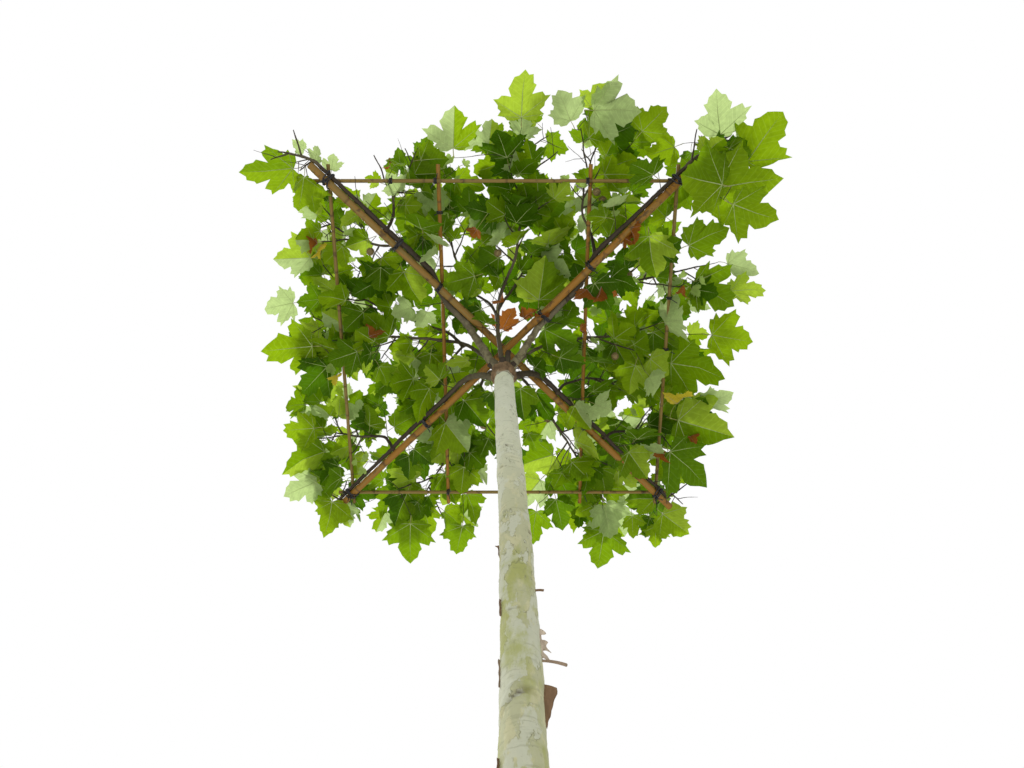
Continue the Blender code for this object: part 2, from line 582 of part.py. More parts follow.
class Mass:
    """One mass of foliage: a stem from a bough's tip, twigs from the stem, and leaves along both."""

    def __init__(self, name, placed, spans):
        facts = MASSES[name]
        self.carrier, self.bearing, self.reach, self.rise = facts[:4]
        self.twigs, self.twig_length, self.balls, self.leaf_size = facts[4:]
        self.name, self.placed, self.spans = name, placed, spans
        self.draw = random.Random(name)
        self.limbs, self.leaves, self.fruits = {}, [], []

    def owns(self, point):
        """True in this mass's own space: nearer to its stem than to another's, or nearly so."""
        if not LOWEST_LEAF < point[2] < HIGHEST_LEAF:
            return False
        apart = {}
        for name, (start, end) in self.spans.items():
            along = end - start
            share = np.clip((point - start) @ along / (along @ along), 0.0, 1.0)
            apart[name] = np.hypot(*(point - start - share * along)[:2])
        return apart[self.name] < min(apart.values()) + SPACE_OVERLAP

    def grow_stem(self, bough):
        """Starts straight out of the bough's end, then bends to its own bearing and rise."""
        end, heading, radius = bough.points[-1], unit(bough.points[-1] - bough.points[-2]), bough.radii[-1]
        share = np.linspace(0, 1, STEM_STEPS + 1)[:, None]
        for number in range(STEM_TRIES):
            turn = self.bearing + STEM_TURN * (-1) ** number * ((number + 1) // 2)
            tip = end + self.reach * bearing(turn) + UP * (self.rise + STEM_LIFT * number)
            knee = end + heading * STEM_KNEE * self.reach
            points = (1 - share) ** 2 * end + 2 * share * (1 - share) * knee + share**2 * tip
            points[0] = end + heading * GAP
            points[1] = end + heading * STEM_STRAIGHT * self.reach
            stem = Limb(points, radius + (STEM_TIP_RADIUS - radius) * share[:, 0])
            if not self.placed.touches(stem.shape(TWIG_SIDES, LIMB_CLEARANCE), (self.carrier,)):
                break
        self.limbs["stem"] = stem
        self.placed.add(stem.shape(TWIG_SIDES), self.name + "/stem")

    def grow_twig(self, number):
        """Of several twigs about TWIG_TURN round the stem from the last one, keeps the one whose tip has
        the most room. One that leaves the mass's space or touches a limb or a leaf is skipped."""
        stem = self.limbs["stem"]
        share = FIRST_TWIG + TWIG_SPAN * (number + 0.5) / self.twigs
        foot, girth = stem.at(share)
        ahead = stem.along(share)
        side = unit(np.cross(ahead, UP))
        top = np.cross(side, ahead)
        steps = np.linspace(0, 1, TWIG_STEPS + 1)
        best, most = None, 0.0
        for _ in range(TWIG_TRIES):
            turn = math.radians(number * TWIG_TURN + self.draw.uniform(-TWIG_SWING, TWIG_SWING))
            lean = math.radians(self.draw.uniform(*TWIG_ANGLE))
            outward = side * math.cos(turn) + top * (TWIG_FLATNESS * math.sin(turn) + TWIG_RISE)
            way = unit(ahead * math.cos(lean) + outward * math.sin(lean))
            length = self.twig_length * self.draw.uniform(*TWIG_LENGTHS) * (1.0 - TWIG_SHORTENING * share)
            bend = self.draw.uniform(*TWIG_BEND) * length
            points = foot + (steps * length)[:, None] * way + (steps**2 * bend)[:, None] * UP
            radius = min(TWIG_RADIUS, girth * TWIG_SHARE)
            twig = Limb(points, radius + (TWIG_TIP_RADIUS - radius) * steps)
            space = room(points[-1], self.placed.twig_tips)
            if space <= most or not self.owns(points[-1] + way * TWIG_AHEAD):
                continue
            if self.placed.touches(twig.shape(TWIG_SIDES, LIMB_CLEARANCE), (self.name + "/stem",)):
                continue
            best, most = twig, space
        if best:
            label = f"twig_{number}"
            self.limbs[label] = best
            self.placed.twig_tips.append(best.points[-1])
            self.placed.add(best.shape(TWIG_SIDES), f"{self.name}/{label}")

    def grow_leaves(self, label):
        """Leaves on alternate sides of a limb, the last at its tip."""
        limb = self.limbs[label]
        first = FIRST_STEM_LEAF if label == "stem" else FIRST_TWIG_LEAF
        count = max(2, round(limb.length() * (1 - first) / LEAF_SPACING))
        for number in range(count + 1):
            share = min(first + (1 - first) * number / count, LAST_LEAF)
            self.grow_leaf(label, share, number, number == count)

    def grow_leaf(self, label, share, number, last):
        """Of several ways to hold a leaf, keeps the one with the most room. A leaf that leaves the
        mass's space or touches anything is skipped."""
        limb = self.limbs[label]
        root = limb.at(share)[0]
        ahead = limb.along(share)
        level = unit(np.cross(ahead, UP))
        outward = unit(np.array((root[0] - CROWN_X + 1e-6, root[1], 0.0)))
        own = f"{self.name}/{label}"
        best, most = None, 0.0
        for attempt in range(LEAF_TRIES):
            hand = 1 if (number + attempt // (LEAF_TRIES // 2)) % 2 else -1
            sideways = self.draw.uniform(*TIP_SIDEWAYS) if last else hand * self.draw.uniform(*LEAF_SIDEWAYS)
            way = ahead * (1.0 if last else LEAF_AHEAD) + sideways * level + LEAF_OUTWARD * outward
            axis = unit(unit(way) - self.draw.uniform(*LEAF_DROOP) * UP)
            roll = math.radians(self.draw.uniform(-LEAF_ROLL, LEAF_ROLL))
            upright = unit(UP - axis * axis[2])
            normal = upright * math.cos(roll) + np.cross(axis, upright) * math.sin(roll)
            blade = self.draw.uniform(*BLADE) * self.leaf_size * (1 - LEAF_SHRINK * attempt)
            middle = root + axis * (PETIOLE + LEAF_MIDDLE * blade)
            space = room(middle, self.placed.blades)
            if space <= most or not self.owns(middle):
                continue
            lifted = [root + lift * LEAF_CLEARANCE * normal for lift in (-1, 0, 1)]
            tests = [leaf_shape(place, axis, normal, blade + LEAF_CLEARANCE) for place in lifted]
            if any(self.placed.touches(test, (own,)) for test in tests):
                continue
            best, most = (root, axis, normal, blade, middle), space
        if best:
            self.leaves.append(best[:4])
            self.placed.add(leaf_shape(*best[:4]), self.name + "/leaf")
            self.placed.blades.append(best[4])

    def hang_balls(self):
        """Seed balls on thin stalks under the first twigs that have room for one."""
        for label in list(self.limbs)[1:]:
            if len(self.fruits) == self.balls:
                return
            root = self.limbs[label].at(BALL_PLACE)[0]
            swing = bearing(self.draw.uniform(0, 360))
            foot = root - UP * BALL_STALK + swing * BALL_SWING
            stalk = tube(np.linspace(root, foot, 2), STALK_RADIUS, TWIG_SIDES, reference=swing)
            ball = ball_shape(foot, BALL_RADIUS)
            clear = ball_shape(foot, BALL_RADIUS + LEAF_CLEARANCE)
            if self.placed.touches(clear) or self.placed.touches(stalk, (f"{self.name}/{label}",)):
                continue
            self.fruits.append((stalk, ball))
            self.placed.add(ball, self.name + "/ball")
            self.placed.add(stalk, self.name + "/ball")

    def build(self, finish):
        """One solid: the stem, with its twigs, leaves and seed balls united with it."""
        pieces = [limb.shape(TWIG_SIDES) for label, limb in self.limbs.items() if label != "stem"]
        pieces += [leaf_shape(*leaf) for leaf in self.leaves]
        pieces += [piece for fruit in self.fruits for piece in fruit]
        parts = bpy.data.collections.new(self.name + "_parts")
        bpy.context.scene.collection.children.link(parts)
        for number, shape in enumerate(pieces):
            piece = solid(f"{self.name}_piece_{number}", shape)
            bpy.context.scene.collection.objects.unlink(piece)
            parts.objects.link(piece)
        mass = solid(self.name, self.limbs["stem"].shape(TWIG_SIDES), finish)
        join = mass.modifiers.new("join", "BOOLEAN")
        join.operation = "UNION"
        join.operand_type = "COLLECTION"
        join.collection = parts
        join.solver = "MANIFOLD"
        with bpy.context.temp_override(object=mass, active_object=mass):
            bpy.ops.object.modifier_apply(modifier=join.name)
        for piece in list(parts.objects):
            bpy.data.objects.remove(piece)
        bpy.data.collections.remove(parts)


def grow_crown(boughs, canes, ties):
    """All masses, grown round the limbs, the canes and each other: stems, then twigs, then leaves."""
    placed = Placed()
    placed.add(stem_shape(LIMB_CLEARANCE), "stem")
    for name, limb in (*boughs.items(), *canes.items()):
        placed.add(limb.shape(CANE_SIDES, LIMB_CLEARANCE), name)
    for name, shape in ties.items():
        placed.add(shape, name)
    spans = {}
    for name, (carrier, degrees, reach, *_) in MASSES.items():
        start = boughs[carrier].points[-1]
        spans[name] = (start, start + reach * bearing(degrees))
    masses = [Mass(name, placed, spans) for name in MASSES]
    for mass in masses:
        mass.grow_stem(boughs[mass.carrier])
    for mass in masses:
        for number in range(mass.twigs):
            mass.grow_twig(number)
    for mass in masses:
        for label in mass.limbs:
            mass.grow_leaves(label)
        mass.hang_balls()
    return masses


def build():
    for obj in list(bpy.data.objects):
        bpy.data.objects.remove(obj)

    bark = material("plane_bark", (0.50, 0.52, 0.38), 0.75)
    young_bark = material("bough_bark", (0.20, 0.16, 0.12), 0.8)
    bamboo = material("cane", (0.52, 0.33, 0.17), 0.55)
    rubber = material("tie_rubber", (0.03, 0.03, 0.035), 0.6)
    foliage = material("leaf", (0.15, 0.33, 0.05), 0.5)

    solid("trunk", stem_shape(), bark)
    boughs, canes = tree_boughs(), frame_canes()
    ties = tree_ties(boughs, canes)
    for name, limb in boughs.items():
        if name in STEM_BOUGHS:
            made = solid(name, limb.shape(BOUGH_SIDES), young_bark)
            cut_clear(made, stem_shape(GAP))
        else:
            made = solid(name, limb.shape(SIDE_BOUGH_SIDES), young_bark)
            parent = SIDE_BOUGHS[name][0]
            cut_clear(made, boughs[parent].shape(BOUGH_SIDES, GAP))
    for name, limb in canes.items():
        solid(name, limb.shape(DIAGONAL_CANE_SIDES if "diagonal" in name else CANE_SIDES), bamboo)
    for name, shape in ties.items():
        solid(name, shape, rubber)
    for mass in grow_crown(boughs, canes, ties):
        mass.build(foliage)


build()
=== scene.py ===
"""Looks of the london plane trained as a roof tree.

Metres, +Z up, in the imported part's frame. The crown is grown again by the part's own rule, with the same
seeds, and is then carried on to finer twigs. Each operator makes one piece or one group of like pieces.
"""

import math
import random

import bpy
import numpy as np
from mathutils.bvhtree import BVHTree
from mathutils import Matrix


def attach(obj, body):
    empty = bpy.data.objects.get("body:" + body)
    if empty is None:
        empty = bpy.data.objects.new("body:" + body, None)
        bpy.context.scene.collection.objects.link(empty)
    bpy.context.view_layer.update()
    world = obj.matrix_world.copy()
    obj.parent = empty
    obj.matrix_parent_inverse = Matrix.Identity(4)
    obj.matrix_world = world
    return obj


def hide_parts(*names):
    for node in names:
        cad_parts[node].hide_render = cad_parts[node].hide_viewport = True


bl_info = {
    "name": "Roof tree looks",
    "version": (1, 0, 0),
    "blender": (4, 5, 0),
    "location": "3D View > Sidebar > Roof tree",
    "description": "Bark, boughs, canes, ties, twigs, leaves and seed balls of a trained london plane",
    "category": "Object",
}

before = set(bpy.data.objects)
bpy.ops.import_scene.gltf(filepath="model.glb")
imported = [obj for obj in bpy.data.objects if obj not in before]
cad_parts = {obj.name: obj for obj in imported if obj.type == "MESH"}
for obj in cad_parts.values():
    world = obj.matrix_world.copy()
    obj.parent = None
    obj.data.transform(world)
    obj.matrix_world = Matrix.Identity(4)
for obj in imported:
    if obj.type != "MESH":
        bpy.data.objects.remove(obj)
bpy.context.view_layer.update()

# Clearances
GAP = 0.0003
CONTACT = 0.0006
LIMB_CLEARANCE = 0.0015
LEAF_CLEARANCE = 0.002

# Stem
STEM_HEIGHT = 2.54
STEM_SIDES = 14
STEM_RADIUS = 0.0355
STEM_TOP_RADIUS = 0.0280
STEM_TOP_SHARE = 0.72
FLARE_WIDTH = 0.024
FLARE_HEIGHT = 0.085
HEAD_Z = 2.478
HEAD_SWELL = 0.014
HEAD_SPREAD = 0.050
STEM_LEAN = -0.0600
STEM_BOW = 0.004
STEM_SWAY = 0.0045
SWAY_HEIGHT = 0.98
SWAY_LENGTH = 1.9

# Heights of the stem's rings: in the flare, up the clear stem (first, last and number), and from HEAD_Z
FLARE_RINGS = (0.0, 0.03, 0.07, 0.13, 0.22)
CLEAR_RINGS = (0.45, 2.36, 7)
HEAD_RINGS = (-0.06, -0.02, 0.025)

# Training frame of canes 1.2 m long, lashed 5 cm in from their ends
FRAME_SIDE = 1.10
FRAME_Z = 2.737
CANE_OVERSHOOT = 0.05
DIAGONAL_CANE_RADIUS = 0.012
SIDE_CANE_RADIUS = 0.006
INNER_CANE_RADIUS = 0.0065
INNER_CANE_X = (-0.205, 0.275)
INNER_CANE_ARCH = 0.021
CANE_SIDES = 8

# Crown
CROWN_X = STEM_LEAN - 0.006
HALF = FRAME_SIDE / 2
CORNER = HALF * math.sqrt(2)
LOWEST_LEAF = FRAME_Z - 0.25
HIGHEST_LEAF = FRAME_Z + 0.45
UP = np.array((0.0, 0.0, 1.0))

# Boughs that leave the stem: bearing, reach in plan, height they leave it, distance in plan over which
# they climb to the frame, lift of the tip over the frame, sideways bow, and foot and tip radius.
STEM_BOUGHS = {
    "bough_front_left": (225, CORNER + 0.045, 2.430, 0.17, 0.0, 0.0, 0.0135, 0.0060),
    "bough_front_right": (315, CORNER + 0.040, 2.435, 0.16, 0.0, 0.0, 0.0120, 0.0060),
    "bough_back_left": (135, CORNER + 0.030, 2.420, 0.20, 0.0, 0.0, 0.0105, 0.0055),
    "bough_back_right": (45, CORNER + 0.030, 2.425, 0.20, 0.0, 0.0, 0.0105, 0.0055),
    "bough_front": (273, 0.23, 2.495, 0.20, 0.075, -0.026, 0.0080, 0.0052),
    "bough_left": (182, 0.20, 2.490, 0.17, 0.070, -0.006, 0.0070, 0.0052),
    "bough_right": (359, 0.19, 2.495, 0.17, 0.070, 0.010, 0.0065, 0.0050),
    "bough_back_mid_left": (117, 0.19, 2.475, 0.17, 0.070, 0.008, 0.0065, 0.0050),
    "bough_back_mid_right": (61, 0.19, 2.505, 0.17, 0.070, 0.006, 0.0065, 0.0050),
}

# Steps of a bough, longer outwards by a power, and its taper. A corner bough moves beside its cane, and
# every bough's line from the stem to the crown's middle, over these distances out.
CORNER_BOUGH_STEPS = 16
BOUGH_STEPS = 8
STEP_POWER = 1.25
TAPER_POWER = 0.8
SIDE_LEAD = 0.09
MIDDLE_LEAD = 0.10
NEARBY = 0.08

# Each corner bough lies against its diagonal cane: angle round the cane from its top, near the stem
# and near the corner, and the distances out between which it winds from one to the other.
WINDING = {
    "bough_front_left": (-78, 78, 0.200, 0.425),
    "bough_front_right": (78, -78, 0.275, 0.505),
    "bough_back_left": (74, 78, 0.30, 0.60),
    "bough_back_right": (-76, -80, 0.30, 0.60),
}
WINDING_CLEARANCE = 0.003

# Boughs that leave another bough: parent, share of its length where they leave it, bearing, reach in
# plan, lift of the tip over the frame, and foot and tip radius.
SIDE_BOUGHS = {
    "bough_left_mid": ("bough_left", 0.80, 209, 0.09, 0.090, 0.0050, 0.0042),
    "bough_left_front": ("bough_front_left", 0.59, 192, 0.09, 0.075, 0.0060, 0.0042),
    "bough_left_back": ("bough_back_left", 0.72, 188, 0.09, 0.070, 0.0055, 0.0042),
    "bough_right_front": ("bough_front_right", 0.42, 357, 0.13, 0.095, 0.0075, 0.0048),
    "bough_right_back": ("bough_back_right", 0.66, 4, 0.09, 0.070, 0.0055, 0.0042),
    "bough_front_mid_left": ("bough_front_left", 0.72, 282, 0.07, 0.075, 0.0055, 0.0042),
    "bough_front_mid_right": ("bough_front_right", 0.60, 256, 0.09, 0.085, 0.0060, 0.0042),
    "bough_inner_front_left": ("bough_front", 0.50, 224, 0.08, 0.095, 0.0050, 0.0040),
    "bough_inner_front_right": ("bough_front", 0.62, 312, 0.07, 0.105, 0.0050, 0.0040),
    "bough_inner_back_left": ("bough_left", 0.60, 142, 0.08, 0.105, 0.0048, 0.0040),
    "bough_inner_back_right": ("bough_back_right", 0.38, 352, 0.07, 0.090, 0.0052, 0.0040),
}

# Steps of a side bough, its sway against its reach, and the share of its reach over which it climbs
SIDE_BOUGH_STEPS = 5
SIDE_BOUGH_SWAY = 0.06
SIDE_BOUGH_CLIMB = 0.55

# Masses of foliage: bough whose tip carries it, bearing, reach and rise of its stem, number of twigs,
# length of a twig, number of seed balls, and size of its leaves against the rest.
MASSES = {
    "foliage_corner_front_left": ("bough_front_left", 198, 0.14, 0.02, 3, 0.08, 0, 0.90),
    "foliage_corner_front_right": ("bough_front_right", 12, 0.19, 0.01, 6, 0.09, 0, 1.15),
    "foliage_corner_back_left": ("bough_back_left", 128, 0.06, 0.07, 5, 0.12, 0, 0.95),
    "foliage_corner_back_right": ("bough_back_right", 50, 0.06, 0.07, 5, 0.13, 0, 1.0),
    "foliage_front": ("bough_front", 277, 0.47, 0.14, 10, 0.17, 1, 1.0),
    "foliage_front_left": ("bough_front_mid_left", 306, 0.15, 0.10, 6, 0.14, 0, 0.92),
    "foliage_front_right": ("bough_front_mid_right", 280, 0.27, 0.14, 8, 0.17, 2, 1.0),
    "foliage_left": ("bough_left", 177, 0.50, 0.12, 10, 0.17, 0, 0.97),
    "foliage_left_mid": ("bough_left_mid", 200, 0.48, 0.12, 9, 0.16, 0, 0.92),
    "foliage_left_front": ("bough_left_front", 196, 0.27, 0.13, 6, 0.15, 1, 0.92),
    "foliage_left_back": ("bough_left_back", 172, 0.17, 0.10, 6, 0.16, 0, 0.97),
    "foliage_right": ("bough_right", 1, 0.45, 0.12, 10, 0.17, 1, 1.0),
    "foliage_right_front": ("bough_right_front", 352, 0.33, 0.12, 8, 0.17, 1, 1.05),
    "foliage_right_back": ("bough_right_back", 6, 0.18, 0.10, 7, 0.16, 0, 1.0),
    "foliage_back_left": ("bough_back_mid_left", 117, 0.60, 0.08, 10, 0.17, 1, 1.0),
    "foliage_back_right": ("bough_back_mid_right", 60, 0.60, 0.08, 10, 0.17, 1, 1.0),
    "foliage_inner_front_left": ("bough_inner_front_left", 245, 0.28, 0.14, 7, 0.16, 0, 1.0),
    "foliage_inner_front_right": ("bough_inner_front_right", 304, 0.22, 0.16, 7, 0.16, 1, 1.0),
    "foliage_inner_back_left": ("bough_inner_back_left", 128, 0.26, 0.13, 7, 0.17, 0, 1.05),
    "foliage_inner_back_right": ("bough_inner_back_right", 24, 0.20, 0.13, 7, 0.16, 0, 1.05),
}

# Stem of a mass: it leaves the bough straight and bends at its knee, both as shares of its reach. Where
# it touches something it is tried again, turned and lifted.
STEM_STEPS = 5
STEM_STRAIGHT = 0.15
STEM_KNEE = 0.4
STEM_TRIES = 16
STEM_TURN = 5
STEM_LIFT = 0.008
STEM_TIP_RADIUS = 0.00312

# Twigs: their place along the stem, angle from it, length and bend against the mass's twig length
TWIG_SIDES = 3
TWIG_STEPS = 1
TWIG_TRIES = 8
TWIG_RADIUS = 0.0040
TWIG_TIP_RADIUS = 0.0026
TWIG_SHARE = 0.8
FIRST_TWIG = 0.12
TWIG_SPAN = 0.80
TWIG_TURN = 137.5
TWIG_SWING = 50
TWIG_ANGLE = (48, 74)
TWIG_FLATNESS = 0.7
TWIG_RISE = 0.1
TWIG_LENGTHS = (0.7, 1.15)
TWIG_SHORTENING = 0.2
TWIG_BEND = (-0.03, 0.12)
TWIG_AHEAD = 0.05
SPACE_OVERLAP = 0.045
HEIGHT_SHARE = 1 / 3

# Leaves: where they start along a stem or twig and end, how they stand, and their size
FIRST_STEM_LEAF = 0.45
FIRST_TWIG_LEAF = 0.30
LAST_LEAF = 0.985
LEAF_SPACING = 0.060
LEAF_TRIES = 12
LEAF_SHRINK = 0.02
LEAF_AHEAD = 0.4
LEAF_SIDEWAYS = (0.6, 1.2)
TIP_SIDEWAYS = (-0.5, 0.5)
PETIOLE = 0.030
BLADE = (0.092, 0.148)
BLADE_THICKNESS = 0.0032
LEAF_OUTWARD = 0.25
LEAF_DROOP = (-0.05, 0.60)
LEAF_ROLL = 26
LOBE = (0.57, 0.42, -0.045)
NOTCH = (0.23, 0.62, -0.075)
TIP = (0.0, 1.0, -0.19)
LEAF_MIDDLE = 0.40

# Seed balls
BALL_RADIUS = 0.0135
BALL_STALK = 0.075
BALL_PLACE = 0.42
BALL_SWING = 0.02
STALK_RADIUS = 0.0017

# Ties of black rubber
TIE_THICKNESS = 0.003
TIE_WIDTH = 0.008
TIE_POINTS = 8
CANE_TIES = {
    "tie_front_left_inner": ("bough_front_left", 0.30),
    "tie_front_left_outer": ("bough_front_left", 0.49),
    "tie_front_right_inner": ("bough_front_right", 0.18),
    "tie_front_right_outer": ("bough_front_right", 0.40),
    "tie_back_left": ("bough_back_left", 0.38),
    "tie_back_right": ("bough_back_right", 0.40),
}

# Finer growth. The limbs of a mass bear twiglets, and the boughs bear spurs: their number on a stem, a twig,
# a corner bough, another bough from the stem, and a side bough; their length, lowest place, tries and radii;
# the size of their leaves, some of them young; how the leaves stand; and the share of them that may hang
# before a cane or bough
TWIGLETS = {"stem": 3, "twig": 1, "corner": 8, "bough": 5, "side": 3, "lone": 0}
TWIGLET_LENGTH = (0.045, 0.095)
SPUR_LENGTH = (0.05, 0.13)
LOWEST_SPUR = FRAME_Z - 0.13
TWIGLET_TRIES = 6
SPUR_TRIES = 14
TWIGLET_RADIUS = 0.0018
TWIGLET_TIP_RADIUS = 0.0011
TWIGLET_LEAF = 0.68
SPUR_LEAF = 0.85
YOUNG_SHARE = 0.14
YOUNG_LEAF = 0.28
FINER_SIZES = (0.8, 1.25)
FINER_DROOP = (0.0, 1.0)
FINER_ROLL = 40
HANGING_SHARE = 0.10

# Place of the twiglets along a limb, how they point forward, sideways and up, how far past their tip their
# room is measured, and the places of their leaves
FIRST_TWIGLET = 0.12
TWIGLET_SPAN = 0.83
LAST_TWIGLET = 0.95
TWIGLET_FORWARD = 0.6
TWIGLET_SIDEWAYS = (0.4, 1.1)
TWIGLET_UPWARD = (-0.5, 0.5)
TWIGLET_AHEAD = 0.03
TWIGLET_LEAVES = (0.985, 0.60, 0.30)
YOUNG_LEAVES = (0.985, 0.70, 0.45, 0.25)

# Bare twigs of a mass: their number, length, place along a limb, how they point, and how thin they end
BARE_TWIGS = 3
BARE_TWIG_LENGTH = (0.06, 0.12)
BARE_PLACE = (0.3, 0.9)
BARE_FORWARD = 0.5
BARE_SIDEWAYS = (0.3, 1.0)
BARE_UPWARD = (-0.3, 0.5)
BARE_TIP = 0.6

# The camera: its eye point, its focal length and the picture's width in pixels, its tilt over the level, and
# the width of its sensor
EYE = np.array((-0.0385, -0.8197, 0.19))
FOCAL_LENGTH = 794
PICTURE_WIDTH = 1024
CAMERA_TILT = 69.65
SENSOR_WIDTH = 36.0

# The crown's outline without the leaves that stand out from it, from the right and towards the back: places
# on the frame's level that lie behind its corners and dips, as seen from the eye point
OUTLINE = np.array((
    (0.63, 0.04), (0.57, 0.12), (0.63, 0.17), (0.67, 0.28), (0.60, 0.39), (0.60, 0.47), (0.53, 0.58),
    (0.57, 0.67), (0.52, 0.72), (0.42, 0.72), (0.36, 0.78), (0.27, 0.77), (0.20, 0.71), (0.02, 0.71),
    (-0.18, 0.75), (-0.24, 0.77), (-0.33, 0.70), (-0.43, 0.75), (-0.51, 0.67), (-0.68, 0.67), (-0.74, 0.57),
    (-0.79, 0.53), (-0.76, 0.36), (-0.82, 0.29), (-0.79, 0.07), (-0.81, -0.02), (-0.76, -0.09),
    (-0.79, -0.17), (-0.71, -0.24), (-0.75, -0.34), (-0.68, -0.41), (-0.74, -0.50), (-0.73, -0.61),
    (-0.67, -0.66), (-0.59, -0.55), (-0.43, -0.55), (-0.40, -0.64), (-0.36, -0.63), (-0.22, -0.71),
    (-0.17, -0.69), (-0.07, -0.71), (-0.01, -0.79), (0.04, -0.74), (0.11, -0.77), (0.28, -0.77),
    (0.38, -0.73), (0.46, -0.66), (0.58, -0.69), (0.71, -0.67), (0.68, -0.56), (0.65, -0.49), (0.64, -0.42),
    (0.60, -0.36), (0.66, -0.24), (0.60, -0.12), (0.62, -0.04),
))
OUTLINE_MARGIN = 0.02

# Open sky in the crown, and the front left knot of the frame, which no leaf hides: place on the frame's
# level, as seen from the eye point, and radius. A leaf counts as round, with a share of its length as radius.
GAPS = np.array((
    (0.54, -0.47, 0.030), (0.58, -0.46, 0.030), (0.63, -0.45, 0.025), (0.51, -0.36, 0.015),
    (0.54, -0.31, 0.025), (0.60, -0.30, 0.025), (0.54, -0.24, 0.015), (0.43, -0.22, 0.008),
    (0.64, -0.11, 0.025), (0.36, -0.15, 0.010), (0.32, -0.35, 0.010), (0.60, 0.14, 0.020),
    (0.55, 0.29, 0.015), (0.43, 0.24, 0.015), (0.52, 0.66, 0.025), (0.47, 0.46, 0.015),
    (-0.35, 0.48, 0.020), (-0.29, 0.58, 0.015), (-0.57, 0.60, 0.020), (-0.53, 0.44, 0.020),
    (-0.56, 0.37, 0.020), (-0.55, 0.10, 0.015), (-0.18, 0.10, 0.010), (-0.46, 0.18, 0.025),
    (-0.46, 0.02, 0.025), (-0.73, -0.13, 0.015), (-0.64, -0.41, 0.015), (-0.51, -0.33, 0.012),
    (-0.43, -0.50, 0.020), (0.09, -0.59, 0.030), (0.17, -0.61, 0.020), (0.22, -0.64, 0.020),
    (0.12, -0.70, 0.020), (0.04, -0.68, 0.020), (-0.19, -0.04, 0.015), (0.15, 0.10, 0.020),
    (0.06, 0.10, 0.010), (0.14, 0.31, 0.015), (0.18, -0.07, 0.010), (-0.26, -0.31, 0.022),
    (-0.20, -0.34, 0.020), (0.35, 0.20, 0.022), (0.14, 0.36, 0.022), (-0.59, -0.54, 0.025),
))
LEAF_REACH = 0.35

# Sizes at which a leaf of the rule is tried, to keep it within the outline and clear of the gaps
LEAF_SIZES = (0.94, 0.80, 0.68, 0.56)

